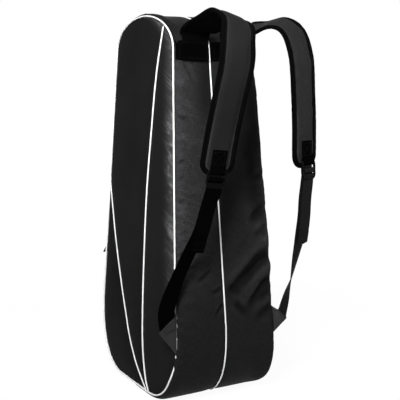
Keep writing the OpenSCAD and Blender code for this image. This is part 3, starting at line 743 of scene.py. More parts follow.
# gussets: a wall for each compartment and side, from the middle of the base to the crown
def makeGussets():
    u = evenSteps(0.0, 3.0, gusset["spacing"])
    parts = {"spine": (-1, ("spine_gusset", "crown_gusset_back", "base_gusset")),
             "zip": (1, ("front_gusset", "crown_gusset_front"))}
    for side, s in sides.items():
        for label, (end, nodes) in parts.items():
            outer, lightAndWear = gussetGrid(s, end, u, 0.0)
            inner, _ = gussetGrid(s, end, u, gusset["wall"])
            obj = addPiece(f"{side}_gusset_{label}", wallPart(outer, inner, 1),
                           [cloth["gusset"], cloth["lining"]], "shell", "gusset_fabric",
                           [f"{side}_{node}" for node in nodes], marks=lightAndWear)


makeGussets()
print("gussets made")

# face lines, in percent of half the base width and of the crown height
faceLines = {
    "long": [(-47.7, 97.8), (-34.1, 85.4), (-25.6, 70.9), (-17.6, 52.4), (-15.3, 29.1), (-17.6, 14.1),
             (-26.7, 5.1), (-36.4, 1.35)],
    "short": [(85.2, 58.9), (74.4, 49.3), (60.2, 38), (43.8, 27.6), (29.5, 19.7), (16.5, 13.2), (0, 7.7),
              (-17.6, 3.8), (-34.1, 0.8)],
}
lines = {name: spline(np.array(knots) * [bag["baseHalf"], bag["crown"]] / 100, 400)
         for name, knots in faceLines.items()}

face = {"wall": 0.0072, "tuck": 0.0013, "crown": 0.0048, "fade": 0.022, "fullAt": 0.05, "dip": 0.0016,
        "dipFade": 0.004, "columns": 44, "rows": {"main": 210, "side": 420, "wedge": 160},
        "seed": {"main": 41, "side": 42, "wedge": 43}, "low": 0.0117,
        "top": {"main": 0.7385, "side": 0.719, "wedge": 0.4345}, "least": 0.0012, "rimPoints": 60,
        "pucker": 0.0020, "lean": 0.5, "reach": 0.021, "puckerFade": 0.0015, "slackFade": 0.02,
        "stripTroughLight": 0.26}
faceNoise = {"crest": (1.0, 0.0075, 0.05, 0), "wave": (0.6, 0.0075, 0.06, 9),
             "slack": (0.0007, 0.09, 0.05, 5)}


# a line's place across at a height
def lineY(line, z):
    order = np.argsort(line[:, 1])
    return np.interp(z, line[order, 1], line[order, 0])


# panel edges at each height: the face's own edge, or a piping line less half its width
def panelEdges(name, z):
    tuck = face["tuck"]
    rim = rimY(z, bag["seam"] + tuck)
    a = np.where(z > lines["long"][0, 1], -rim, np.maximum(lineY(lines["long"], z), -rim))
    b = np.where(z > lines["short"][0, 1], rim, np.minimum(lineY(lines["short"], z), rim))
    if name == "side":
        return -rim, a - tuck
    if name == "main":
        return np.where(a > -rim, a + tuck, -rim), np.where(b < rim, b - tuck, rim)
    return np.maximum(b, a) + tuck, rim


# panel grid: rows of even share across between its edges, and each point's distance from the nearest edge
def facePanel(name):
    z = mix(face["low"], face["top"][name], packed(face["rows"][name], 0.55))
    a, b = panelEdges(name, z)
    keep = b - a > face["least"]
    z, a, b = z[keep], a[keep], b[keep]
    y = mix(a[:, None], b[:, None], packed(face["columns"], 0.5)[None, :])
    ends = [points(np.linspace(a[k], b[k], face["rimPoints"]), z[k]) for k in (0, -1)]
    edge = np.concatenate([points(a, z), points(b, z), *ends])
    z = np.broadcast_to(z[:, None], y.shape)
    away = points(y, z).reshape(-1, 1, 2) - edge[None]
    return y, z, np.min(np.linalg.norm(away, axis=2), axis=1).reshape(y.shape)


# height of a panel above the face plane, and its painted light: it swells away from its edges, dips into the
# seams, and has slanting wrinkles beside the strap side seam, in a strip painted lighter, partly wear, with
# painted highlights on the crests
def panelHeight(y, z, gap, seed):
    swell = face["crown"] * (1 - fade(gap, face["fade"])) * np.minimum(1, gap.max() / face["fullAt"])
    dip = face["dip"] * fade(gap, face["dipFade"])
    slant = z - face["lean"] * y
    wave = clothNoise(faceNoise["wave"], 0.55 * slant, y, seed)
    crest = np.clip(0.8 * ridges(clothNoise(faceNoise["crest"], slant, y, seed)) + wave, -0.4, 1)
    fromSpine = y + rimY(z, bag["seam"] + face["tuck"])
    near = bell(fromSpine, 0, face["reach"]) * ease(0.18, 0.32, z)
    pucker = face["pucker"] * (crest - 0.2) * near * (1 - fade(gap, face["puckerFade"]))
    slack = clothNoise(faceNoise["slack"], z, y, seed) * (1 - fade(gap, face["slackFade"]))
    # painted highlights on the wrinkle crests of a lighter strip beside the strap side seam, partly wear
    return swell - dip + pucker + slack, near * mix(face["stripTroughLight"], 1.0, np.clip(crest, 0, 1) ** 1.5)


# face panels: a swelling skin over the face plane and a flat back behind the foam
def makeFaces():
    for name, seed in face["seed"].items():
        y, z, gap = facePanel(name)
        for side, s in sides.items():
            height, lightAndWear = panelHeight(y, z, gap, seed + s)
            outer = points(s * (halfDepth(z) + height), y, z)
            inner = points(s * (halfDepth(z) - face["wall"]), y, z)
            nodes = [f"{side}_face_{name}"] + ([f"{side}_face_foam"] if name == "main" else [])
            obj = addPiece(f"{side}_panel_{name}", wallPart(outer, inner), [cloth["face"]], f"{side}_cover",
                           "face_fabric", nodes, marks=lightAndWear)


makeFaces()
print("face panels made")


# flat sheet: rows between two heights that span the outline there, with its flat size and area
def sheetGrid(look, rimAt):
    z = mix(look["low"], look["high"], packed(look["rows"], 0.5))
    rim = rimAt(z)
    y = rim[:, None] * np.linspace(-1, 1, look["columns"])[None, :]
    flat = (float(2 * rim.max()), float(z[-1] - z[0]))
    return y, np.broadcast_to(z[:, None], y.shape), flat, float(np.sum((rim[1:] + rim[:-1]) * np.diff(z)))


lining = {"low": 0.0132, "high": 0.7368, "rows": 120, "columns": 40, "inset": 0.0128, "level": 0.0074,
          "wall": 0.0008, "ripple": (0.0005, 0.06, 0.05, 61)}


# lining: one sheet behind the foam, whose inner side ripples a little
def makeLinings():
    y, z, flat, area = sheetGrid(lining, lambda z: rimY(z, lining["inset"]))
    thick = lining["wall"] + lining["ripple"][0] + clothNoise(lining["ripple"], z, y)
    for side, s in sides.items():
        depth = halfDepth(z) - lining["level"]
        wall = wallPart(points(s * depth, y, z), points(s * (depth - thick), y, z))
        obj = addPiece(f"{side}_lining", wall, [cloth["lining"]], f"{side}_cover", "lining",
                       [f"{side}_face_lining"])


makeLinings()

# lines have their upper end and a share of the radius; the left piping sinks into its seam beside the tab
piping = {"radius": 0.0016, "spacing": 0.004, "sides": 14,
          "lines": {"long": (0.7205, 0.95), "short": (0.430, 0.80)}, "lineLow": 0.0112, "lineLift": 0.0004,
          "divider": 0.85, "dividerStart": 0.42, "dividerInset": 0.0006, "dividerEnd": 0.003,
          "sunk": [(0.058, 0.0), (0.072, 0.0016), (0.088, 0.0038), (0.110, 0.0046), (0.126, 0.0034),
                   (0.170, 0.0031), (0.220, 0.0)]}


# open tube that rounds off at both ends
def pipingTube(path, share):
    radius = piping["radius"] * share
    return tubePart(path, radius * endRounding(path, radius, 0.02, 0.03), piping["sides"])


# half a path on the strap side, then its mirror image on the zip side
def mirrored(y, z, last):
    return np.concatenate([points(-y, z), points(y, z)[-2:last:-1]]).T


# face piping follows the closed face outline on the leaning face plane, the lines lie on the face
def makeFacePiping():
    y, z = mirrored(*outline(evenSteps(0, 3, piping["spacing"]), bag["seam"]), 0)
    for side, s in sides.items():
        sunk = np.interp(z, *np.transpose(piping["sunk"])) * (y < 0) * (s < 0)
        path = points(s * (halfDepth(z) - sunk), y, z)
        tube = tubePart(path, piping["radius"], piping["sides"], closed=True)
        finish = [cloth["piping"]], f"{side}_cover", "piping"
        addPiece(f"{side}_piping_face", tube, *finish, [f"{side}_face_piping"])
        rows = []
        for name, (high, share) in piping["lines"].items():
            a, b = lines[name].T
            inside = np.abs(a) < rimY(b, bag["seam"]) + piping["lineLift"]
            keep = (b > piping["lineLow"]) & (b < high) & inside
            path = points(s * (halfDepth(b[keep]) + piping["lineLift"]), a[keep], b[keep])
            rows.append(pipingTube(evenPath(path, piping["spacing"]), share))
        addPiece(f"{side}_piping_lines", joined(rows), *finish, [f"{side}_line_piping"])


# divider piping runs over the bag along the divider seam and dives into the base at both ends
def makeDividerPiping():
    start = piping["dividerStart"]
    u = evenSteps(start, 3.0, piping["spacing"])
    inset = piping["dividerInset"] + piping["dividerEnd"] * ease(start + 0.08, start, u)
    y, z = mirrored(*outline(u, sagged(u, inset)), None)
    tube = pipingTube(points(dividerX(z), y, z), piping["divider"])
    addPiece("piping_divider", tube, [cloth["piping"]], "shell", "piping", ["divider_piping"])


makeFacePiping()
makeDividerPiping()
print("piping made")

divider = {"low": 0.0050, "high": 0.7365, "rows": 110, "columns": 60, "inset": 0.0046, "wall": 0.0018,
           "slack": (0.004, 0.16, 0.10, 71)}


# divider: a panel across the bag, slack in the middle and flat at its edges
def makeDivider():
    y, z, flat, area = sheetGrid(divider, lambda z: rimY(z, divider["inset"], hung=True))
    free = (1 - (y / y[:, -1:]) ** 4) * ease(0.0, 0.08, z) * ease(0.74, 0.66, z)
    x = dividerX(z) - divider["wall"] / 2 + clothNoise(divider["slack"], z, y) * free
    wall = wallPart(points(x, y, z), points(x + divider["wall"], y, z))
    obj = addPiece("divider_sheet", wall, [cloth["lining"]], "shell", "lining", ["divider_panel"])


makeDivider()

zips = {"offset": 0.020, "tape": 0.0087, "gap": 0.0014, "level": 0.0020, "tapeHalf": 0.0005, "low": 0.06,
        "high": 2.97, "spacing": 0.005, "columns": 6}
zipRim = {"near": 0.0024, "far": 0.0100, "columns": 9, "drop": 0.0006, "wall": 0.0030, "roll": 1.25}
teeth = {"pitch": 0.0027, "size": 0.0011, "ends": 0.01, "flat": 0.62, "sides": 6,
         "out": (0.00015, 0.0005, 0.0012, 0.0022, 0.0030, 0.0033),
         "shares": (0.45, 0.95, 1.0, 0.85, 0.7, 0.3)}


# strip round the zip side between two distances from the face, with its own inset across
def zipStrip(s, near, far, columns, insetAt, wall, roll=0.0):
    step = evenSteps(zips["low"], zips["high"], zips["spacing"])[:, None]
    c = np.linspace(near, far, columns)[None, :]
    inset = sagged(step, insetAt(c)) - roll * crownRoll(step, c - gusset["edge"])
    grids = []
    for deep in (0.0, wall):
        y, z = outline(step, inset + deep)
        grids.append(points(s * (halfDepth(z) - c), y, z))
    return wallPart(*grids)


# teeth: short rounded bars across the tape edge, one every pitch; the inner half's stand in the gaps
def zipTeeth(s, inner):
    u = evenSteps(zips["low"] + teeth["ends"], zips["high"] - teeth["ends"], teeth["pitch"])
    if inner:
        u = (u[1:] + u[:-1]) / 2
    y, z = outline(u, sagged(u, zips["level"]))
    place = points(s * (halfDepth(z) - zips["offset"]), y, z)
    run = unit(np.gradient(place, axis=0))
    across = squareTo(run, [-s if inner else s, 0, 0])
    c, q = (turn[None, None, :, None] for turn in roundTurn(teeth["sides"]))
    around = teeth["flat"] * c * run[:, None, None] + q * np.cross(run, across)[:, None, None]
    size = teeth["size"] * np.array(teeth["shares"])[None, :, None, None]
    out = np.array(teeth["out"])[None, :, None, None]
    return manyParts(place[:, None, None] + out * across[:, None, None] + size * around, slot=1)


# zips: a rim strip beside the face, then two tapes with their teeth
def makeZips():
    for side, s in sides.items():
        rim = zipStrip(s, zipRim["near"], zipRim["far"], zipRim["columns"],
                       lambda c: gusset["shoulder"] * fade(c, gusset["shoulderFade"]) + zipRim["drop"],
                       zipRim["wall"], zipRim["roll"])
        addPiece(f"{side}_zip_rim", rim, [cloth["gusset"]], f"{side}_cover", "gusset_fabric", [f"{side}_rim"])
        for half, sign in (("outer", -1), ("inner", 1)):
            near = zips["offset"] + sign * zips["gap"]
            tape = zipStrip(s, near, near + sign * zips["tape"], zips["columns"],
                            lambda c: zips["level"] - zips["tapeHalf"], 2 * zips["tapeHalf"])
            body = "shell" if half == "inner" else f"{side}_cover"
            addPiece(f"{side}_zip_{half}_half", joined([tape, zipTeeth(s, half == "inner")]),
                     [cloth["tape"], solid["teethNylon"]], body, "zip_tape", [f"{side}_zip_{half}"])


makeZips()
print("zips made")

# slider and pull, in millimetres from the zip line: their height on the bag, then plates as low, high and
# dome, levels of a plate as half width, half length and power, and the parts on the pin
mm = 0.001
slider = {"height": 280.0, "plates": ((1.7, 3.1, 0.5), (-3.1, -1.7, 0.0)), "pin": 6.0, "pinHalf": 2.9,
          "pinRadius": 0.9, "bevel": (0.25, 0.35), "domeShare": 0.4,
          "levels": ((5.0, 6.6, 3.2), (5.5, 7.0, 3.2), (5.5, 7.0, 3.2), (4.7, 6.2, 3.0), (3.0, 4.2, 2.6)),
          "post": (0.6, 1.6, 2.6), "postHalf": 2.2, "postShift": 4.7, "ears": (-2.25, 2.25),
          "ear": (2.6, 7.2, 1.6, 0.55)}
pull = {"rest": 40.0, "neck": (-1.4, -9.0), "grip": (-9.6, -59.7), "neckHalf": 1.35, "gripHalf": (2.0, 4.2),
        "thick": 0.95, "rib": 0.28, "ribPitch": 3.4, "ribs": (-19.0, -52.0), "eye": 1.65, "eyeWire": 0.72,
        "eyeWide": 1.75, "neckEnd": -9.2, "widen": (-9.0, -20.0), "ribStart": -18.0, "ribFade": 2.0}


# the slider's place on the zip line, and the turn that squares it to the leaning side and face
def zipFrame(s):
    z = slider["height"] * mm
    sideLean = math.atan((bag["baseHalf"] - bag["shoulderHalf"]) / (bag["shoulder"] - bag["corner"]))
    a = math.atan(bag["slope"] * math.cos(sideLean)) * s
    lean = np.array([[math.cos(a), 0, -math.sin(a)], [0, 1, 0], [math.sin(a), 0, math.cos(a)]])
    at = np.array([s * (halfDepth(z) - zips["offset"]), float(gussetY(z)) - zips["level"], z])
    return at, turnX(sideLean) @ lean


# loft of rounded outlines stacked along y, in metres: each level has a height, a half width, a half length
# and a power
def stackPart(levels, shift=0.0, count=28):
    rings = []
    for y, halfX, halfZ, power in levels:
        c, q = roundTurn(count, power)
        rings.append(mm * points(halfX * c, y, shift + halfZ * q))
    return ringPart(np.array(rings))


# slider: two domed plates, a post between them, and a pin held by two ears
def sliderPart():
    parts = []
    under, over = slider["bevel"]
    for low, high, dome in slider["plates"]:
        heights = (low, low + under, high - over, high + slider["domeShare"] * dome, high + dome)
        parts.append(stackPart([(h, *level) for h, level in zip(heights, slider["levels"])]))
    ends = (-slider["postHalf"], slider["postHalf"])
    parts.append(stackPart([(h, *slider["post"]) for h in ends], slider["postShift"]))
    low, high, wide, thick = (mm * size for size in slider["ear"])
    for x in slider["ears"]:
        parts.append(barPart(stroke((mm * x, low, 0), (mm * x, high, 0)), wide, thick, (0, 0, 1)))
    half, level, radius = (mm * slider[key] for key in ("pinHalf", "pin", "pinRadius"))
    parts.append(barPart(stroke((-half, level, 0), (half, level, 0)), radius, radius, (0, 0, 1), power=2.0))
    return joined(parts)


# pull: an eye on the pin, a slim neck and a ribbed grip that widens and rounds off, all turned about the pin
def pullPart():
    (top, foot), taper = pull["ribs"], pull["ribFade"]
    z = np.concatenate([np.linspace(*pull["neck"], 10), np.linspace(*pull["grip"], 90)])
    wide = np.where(z > pull["neckEnd"], pull["neckHalf"], mix(*pull["gripHalf"], ease(*pull["widen"], z)))
    wave = np.maximum(0, np.sin((z - pull["ribStart"]) * 2 * np.pi / pull["ribPitch"]))
    rib = pull["rib"] * wave * ease(top, top - taper, z) * ease(foot - taper / 2, foot + taper / 2, z)
    thick = pull["thick"] + rib
    grip = barPart(mm * points(0 * z, 0.0, z), mm * wide, mm * thick, (1, 0, 0), count=20, power=3.4)
    c, q = roundTurn(40)
    eye = tubePart(mm * pull["eye"] * points(0.0, q, c), mm * pull["eyeWire"], 10, closed=True)
    eye["points"][:, 0] *= pull["eyeWide"]
    both = joined([grip, eye])
    tilt = turnX(math.radians(pull["rest"]))
    return partOf(both["points"] @ tilt.T + [0, mm * slider["pin"], 0], both["groups"])


# slider and pull, set on the zip line
def makeSliders():
    kinds = [("slider_body", "slider", sliderPart(), "sliderEnamel", "zip_metal"),
             ("pull_grip", "pull", pullPart(), "pullRubber", "pull_rubber")]
    for side, s in sides.items():
        at, turn = zipFrame(s)
        for name, node, made, finish, slot in kinds:
            part = partOf(made["points"] @ turn.T + at, made["groups"])
            addPiece(f"{side}_{name}", part, [solid[finish]], f"{side}_{node}", slot, [f"{side}_{node}"])


# the base boards are stiff, so their solids stay and take a finish
def dressBoards():
    for side in sides:
        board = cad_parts[f"{side}_base_board"].data
        board.materials.clear()
        board.materials.append(solid["boardFibre"])


makeSliders()
dressBoards()
print("sliders and pulls made")

# straps: place of the anchor, then the hang of the pad in millimetres from it with turn and bank, the run
# of the webbing as shares of the way from the buckle to its end, and the frame at the pad's lower end:
# across, inward, up, bar
straps = {
    "left": {
        "anchor": (-0.04603, -0.13925, 0.672),
        "hang": [(0, -1, 33, 0, 0), (-3, -18, 39.5, -5, -.2), (2.5, -55, 49.5, -7, -.34),
                 (.5, -104.5, 58, -10, -.38), (-2, -145.5, 45, -9, -.29), (-10.5, -161.3, 15.5, -8.5, -.15),
                 (-13.7, -162.6, -25, -14, 0), (-17, -143, -88, -13.5, 0), (-18.5, -121.5, -152, -14.5, 0),
                 (-20.5, -105.5, -214, -16.5, 0)],
        "run": [(0, 0, 0, -15, -.1), (.09, .19, .15, -11, -.05), (.4, .2, .315, -6, 0),
                (.675, .43, .478, -7, 0), (.915, .77, .685, -13, .1), (1.07, .96, .852, -12, .2),
                (1, 1, 1, 6, .4)],
        "end": (-0.122502, -0.169938, 0.163),
        "buckle": ((.960408, -.261088, -.0972073), (.276741, .934262, .224874), (.0321052, -.242872, .969527),
                   (-.0689323, -.25566, .463597)),
    },
    "right": {
        "anchor": (0.03498, -0.13925, 0.672),
        "hang": [(0, -1, 33, 0, 0), (9, -21.5, 39.5, 3, .22), (29, -43, 42, 11, .45),
                 (43.5, -77.5, 50, 17, .31), (54, -109.5, 35, 13, .12), (59.5, -129, -7.5, 12, .05),
                 (61, -135.5, -68, 13, 0), (63, -137.5, -130, 13, 0), (65, -137, -206, 13, 0)],
        "run": [(0, 0, 0, 13, 0), (.06, .08, .15, 11, 0), (.24, .165, .295, 9, 0), (.48, .33, .465, 14, 0),
                (.83, .64, .72, 48, .1), (1.01, .87, .885, 78, .3), (1, 1, 1, 90, .5)],
        "end": (0.1213, -0.1829, 0.1652),
        "buckle": ((.974027, .224776, .0273322), (-.22495, .974364, .00343605),
                   (-.0258592, -.00949518, .99962), (.101931, -.285678, .473964)),
    },
}


# strap frame: points with the run, the across direction made square to it, and out beside both
def strapOf(place, wide):
    run = unit(np.gradient(place, axis=0))
    wide = squareTo(run, wide)
    along = runningLength(place)
    return {"along": along, "length": along[-1], "place": place, "run": run, "across": wide,
            "out": np.cross(run, wide)}


# strap along rows of place, turn and bank
def strapAlong(rows):
    path = evenPath(rows, 0.0025)
    turn = np.radians(path[:, 3])
    return strapOf(path[:, :3], points(np.cos(turn), np.sin(turn), path[:, 4]))


# one of a strap's directions at places along it
def strapWay(strap, along, key):
    return readAt(np.clip(along, 0, strap["length"]), strap["along"], strap[key])


# point of a strap: so far along, across and out; past the ends it goes straight on
def onStrap(strap, along, across, out):
    along, across, out = np.broadcast_arrays(*(np.asarray(q, float) for q in (along, across, out)))
    place, wide, up, run = (strapWay(strap, along, key) for key in ("place", "across", "out", "run"))
    past = along - np.clip(along, 0, strap["length"])
    return place + across[..., None] * wide + out[..., None] * up + past[..., None] * run


# foot rows are the height and how far the pad's sewn foot stands off the gusset
# the pad's border carries a painted highlight that grows towards its lower end, and the right pad is painted
# lighter all over
pad = {"width": 0.060, "corner": 0.022, "border": 0.0082, "thin": 0.0014, "front": 0.0037, "back": 0.0030,
       "neck": 0.86, "neckSpan": (0.030, 0.054), "neckFill": 0.30, "fillSpan": (0.030, 0.085),
       "swellSpan": (0.005, 0.019), "foot": ((0.657, 0.0030), (0.668, 0.0030), (0.679, 0.0032)),
       "neckRow": (0.0012, 0.6935), "under": 0.0016, "pucker": (0.0011, 0.012, 0.02, 0),
       "puckerAt": (0.011, 0.006), "slack": (0.0007, 0.022, 0.05, 3), "edgeLightAt": (0.0092, 0.0022),
       "paintedLightAll": {"left": 0.0, "right": 0.38}, "bendFrom": (0, -0.144, 0), "bendTo": (0, -0.205, 0),
       "stitchIn": 0.0058, "stitchStart": 0.09, "stitchLevel": 0.0031, "rows": 230, "columns": 40,
       "tip": (0.03, 0.98, 26), "seed": {"front": 101, "back": 111}, "edgeLightStart": 0.3, "edgeLightSpan": (0.14, 0.05)}
# binding section, from its inner edge round the border: how deep towards the pad and how high
binding = {"deep": (1.0, 0.9634, 0.6, 0.25, 0.0488, -0.0976, -0.1341),
           "high": (0.0012, 0.0026, 0.0031, 0.0033, 0.0029, 0.0016, 0.0), "thin": 0.42,
           "thinSpan": (0.034, 0.075), "wave": (0.10, 3.1, 0.004, 83), "straight": 200, "bend": 18,
           "bottom": 6}


# pad's middle line: its sewn foot on the gusset, the neck, then its hang
def padStrap(side):
    anchor = np.array(straps[side]["anchor"])
    hang = np.array(straps[side]["hang"], float)
    hang[:, :3] = anchor + hang[:, :3] * mm
    foot = [(anchor[0], -float(gussetY(z)) - out, z, 0, 0) for z, out in pad["foot"]]
    rise, height = pad["neckRow"]
    neck = [(anchor[0], anchor[1] + rise, height, 0, 0)]
    return strapAlong(spline(np.concatenate([foot, neck, hang]), 900))


# distance to the pad's outline, which is straight sides that end in two rounded corners
def padGap(length, along, across):
    half, r = pad["width"] / 2, pad["corner"]
    x, y = np.abs(across) - (half - r), along - (length - r)
    return np.where((x > 0) & (y > 0), r - np.hypot(x, y), np.minimum(half - np.abs(across), length - along))


# half width at a place along the pad
def padHalf(length, along):
    half, r = pad["width"] / 2, pad["corner"]
    e = np.clip(length - along, 0, r)
    return half - r + np.sqrt(np.maximum(r**2 - (r - e) ** 2, 0))


# point of a pad, which narrows towards its sewn end
def onPad(strap, along, across, out):
    return onStrap(strap, along, across * mix(pad["neck"], 1.0, ease(*pad["neckSpan"], along)), out)


# height of the pad's front or back: thin at the border and in the neck, swelling inside, with small puckers
# beside the border seam and slack folds on the front
def padHeight(strap, along, across, key, shift):
    gap, seed = padGap(strap["length"], along, across), pad["seed"][key] + shift
    swell = ease(*pad["swellSpan"], gap)
    pucker = clothNoise(pad["pucker"], along, across, seed) * bell(gap, *pad["puckerAt"])
    height = pad["thin"] + pad[key] * swell + pucker
    if key == "front":
        height = height + clothNoise(pad["slack"], along + 0.5 * across, across, seed) * swell
    return height * mix(pad["neckFill"], 1.0, ease(*pad["fillSpan"], along))


# binding: a folded tape round the outline, its section a flat oval cut open towards the pad
def bindingPart(strap):
    length, half, r, n = strap["length"], pad["width"] / 2, pad["corner"], binding["bottom"]
    bend = np.linspace(0, np.pi / 2, binding["bend"])[1:]
    straight = np.linspace(0.0, length - r, binding["straight"])
    sideAlong = np.concatenate([straight, length - r + r * np.sin(bend)])
    sideAcross = np.concatenate([0 * straight + half, half - r + r * np.cos(bend)])
    backward = np.concatenate([0 * straight, np.sin(bend)])
    inward = np.concatenate([0 * straight + 1, np.cos(bend)])
    along = np.concatenate([sideAlong, np.full(n, length), sideAlong[::-1]])
    across = np.concatenate([-sideAcross, np.linspace(-half + r, half - r, n + 2)[1:-1], sideAcross[::-1]])
    inAlong = np.concatenate([-backward, np.full(n, -1.0), -backward[::-1]])
    inAcross = np.concatenate([inward, np.zeros(n), -inward[::-1]])
    deep, high = pad["border"] * np.array(binding["deep"]), np.array(binding["high"])
    deep, high = np.concatenate([deep, deep[-2::-1]]), np.concatenate([high, -high[-2::-1]])
    wave = 1 + clothNoise(binding["wave"], np.arange(len(along))[:, None], deep[None, :])
    l, a = along[:, None] + deep * inAlong[:, None], across[:, None] + deep * inAcross[:, None]
    thin = mix(binding["thin"], 1, ease(*binding["thinSpan"], l))
    return ringPart(onPad(strap, l, a, high[None, :] * wave * thin))


# radius and lift of a stitch along its length, as shares of the thread's radius
stitch = {"radius": 0.00034, "sides": 6, "shares": (0.35, 0.95, 1.0, 0.95, 0.35),
          "lifts": (-0.8, 0.35, 0.6, 0.35, -0.8), "coarse": (0.0030, 0.0014), "cross": (0.0026, 0.0012),
          "fine": (0.0024, 0.0010)}


# stitches: short thread lengths along a row, each a six sided spindle that dips in at both ends
def stitchPart(row, out, kind="coarse"):
    length, gap = stitch[kind]
    run = runningLength(row)
    start = np.arange(0, run[-1] - length, length + gap)[:, None]
    at = start + np.linspace(0, length, len(stitch["shares"]))[None, :]
    place, lift = readAt(at, run, row), readAt(at, run, out)
    wide = np.cross(unit(np.gradient(place, axis=1)), lift)
    size, rise = (stitch["radius"] * np.array(stitch[key])[None, :, None] for key in ("shares", "lifts"))
    c, q = (turn[None, None, :, None] for turn in roundTurn(stitch["sides"]))
    around = c * wide[:, :, None] + q * lift[:, :, None]
    return manyParts((place + lift * rise)[:, :, None] + size[..., None] * around)


# a row of stitches on a strap, at a height on the side that its sign gives
def strapStitches(strap, along, across, height, kind="coarse"):
    along, across = np.broadcast_arrays(along, across)
    up = np.sign(height) * strapWay(strap, along, "out")
    return stitchPart(onStrap(strap, along, across, height), up, kind)


# pads: a front and a back that meet on the middle line, a binding round them, and rows of stitches
def makePads():
    for side, s in sides.items():
        strap = straps[side]["padStrap"] = padStrap(side)
        length, (end, share, count) = strap["length"], pad["tip"]
        tip = length - end + share * end * np.sin(np.linspace(0, np.pi / 2, count))[1:]
        along = np.concatenate([np.linspace(0.0, length - end, pad["rows"]), tip])[:, None]
        turn = np.linspace(-np.pi / 2, np.pi / 2, pad["columns"])[None, :]
        across = (padHalf(length, along) - pad["under"]) * np.sin(turn)
        along = np.broadcast_to(along, across.shape)
        front, back = (onPad(strap, along, across, sign * padHeight(strap, along, across, key, s))
                       for key, sign in (("front", 1), ("back", -1)))
        middle = onPad(strap, along, across, 0.0)
        # painted highlight along the border, growing towards the lower end, and the right pad painted lighter
        # all over
        endLight = mix(pad["edgeLightStart"], 1.0, ease(*(length - gap for gap in pad["edgeLightSpan"]), along))
        lightAndWear = bell(padGap(length, along, across), *pad["edgeLightAt"]) * endLight + pad["paintedLightAll"][side]
        bend = ("shell", f"{side}_strap", pad["bendFrom"], pad["bendTo"])
        nodes = [f"{side}_strap_pad", f"{side}_strap_neck"]
        obj = addPiece(f"{side}_pad_front", wallPart(front, middle), [cloth["pad"]], bend, "pad_fabric",
                       nodes, marks=lightAndWear)
        obj = addPiece(f"{side}_pad_back", wallPart(back, middle), [cloth["padBack"]], bend, "pad_fabric")
        addPiece(f"{side}_pad_binding", bindingPart(strap), [webbing["bindingTape"]], bend, "webbing")
        l = np.linspace(pad["stitchStart"], length - pad["corner"], 300)
        edge = pad["width"] / 2 - pad["stitchIn"]
        rows = [strapStitches(strap, l, k * edge, sign * pad["stitchLevel"])
                for sign in (1, -1) for k in (-1, 1)]
        addPiece(f"{side}_pad_stitches", joined(rows), [cloth["thread"]], bend, "webbing")


makePads()
padLengths = {side: round(float(straps[side]["padStrap"]["length"]), 3) for side in sides}
print("strap pads made, lengths", padLengths)

web = {"width": 0.026, "wall": 0.0018, "flare": {"left": 0.24, "right": 0.04}, "flareSpan": (0.55, 0.95),
       "columns": 13, "rib": (0.18, 0.82, 0.94), "round": (0.55, 0.96, 1.0)}


# ribbon: a flat section with thicker, rounded edges carried along a strap; it may ripple, flare and change
# its thickness
def ribbonPart(strap, width=web["width"], step=0.003, ripple=(0.0, 0.03, 1 / 1.2, 91), flare=0.0,
               hem=((0,), (1,))):
    along = np.linspace(0, strap["length"], max(8, int(strap["length"] / step)))[:, None]
    a = np.linspace(-1, 1, web["columns"])
    a, sign = np.concatenate([a, a[::-1]])[None, :], np.repeat([1, -1], web["columns"])[None, :]
    (rib, *ribSpan), (fall, *fallSpan) = web["rib"], web["round"]
    edge = 1 + rib * ease(*ribSpan, np.abs(a)) - fall * ease(*fallSpan, np.abs(a))
    half = width / 2 * (1 + flare * ease(*web["flareSpan"], along / strap["length"]))
    high = 0.5 * web["wall"] * sign * edge * np.interp(along, *hem) + clothNoise(ripple, along, a)
    return ringPart(onStrap(strap, along, a * half, high))


# loop: rows of along and out from the pad's end, then the turn round the buckle bar; the stitched box lies
# in between
loop = {"lay": [(-0.048, 0.0060), (-0.040, 0.0064), (-0.030, 0.0064), (-0.022, 0.0068), (-0.016, 0.0094),
                (-0.012, 0.0119)], "bar": (-0.008, 0.0096), "radius": 0.0031,
        "back": [(-0.011, 0.0066), (-0.018, 0.0063)], "step": 0.0012, "box": (0.004, 0.026),
        "boxIn": 0.0035, "stitchLevel": 0.00092}


# patch and loop: webbing over the pad's end, round the buckle bar and back behind, sewn with a crossed box
def makeLoops():
    turn = np.linspace(np.pi / 2, -np.pi / 2, 14)
    around = np.array(loop["bar"]) + loop["radius"] * points(np.cos(turn), np.sin(turn))
    rows = np.concatenate([loop["lay"], around, loop["back"]])
    l, out = evenPath(np.concatenate([rows, 0 * rows[:, :1]], 1), loop["step"])[:, :2].T
    (top, low), wide = loop["box"], web["width"] / 2 - loop["boxIn"]
    a, b, c, d = (top, -wide), (top, wide), (low, -wide), (low, wide)
    for side in sides:
        strap = straps[side]["padStrap"]
        along = strap["length"] + l
        bent = strapOf(onStrap(strap, along, 0.0, out), strapWay(strap, along, "across"))
        finish = f"{side}_strap", "webbing"
        ribbon = ribbonPart(bent, step=loop["step"])
        addPiece(f"{side}_loop_webbing", ribbon, [webbing["webbingBlack"]], *finish, [f"{side}_buckle_loop"])
        rows = [strapStitches(bent, *np.linspace(p, q, 40).T, loop["stitchLevel"], "cross")
                for p, q in ((a, b), (c, d), (a, c), (b, d), (a, d), (b, c))]
        addPiece(f"{side}_loop_stitches", joined(rows), [cloth["thread"]], *finish)


makeLoops()

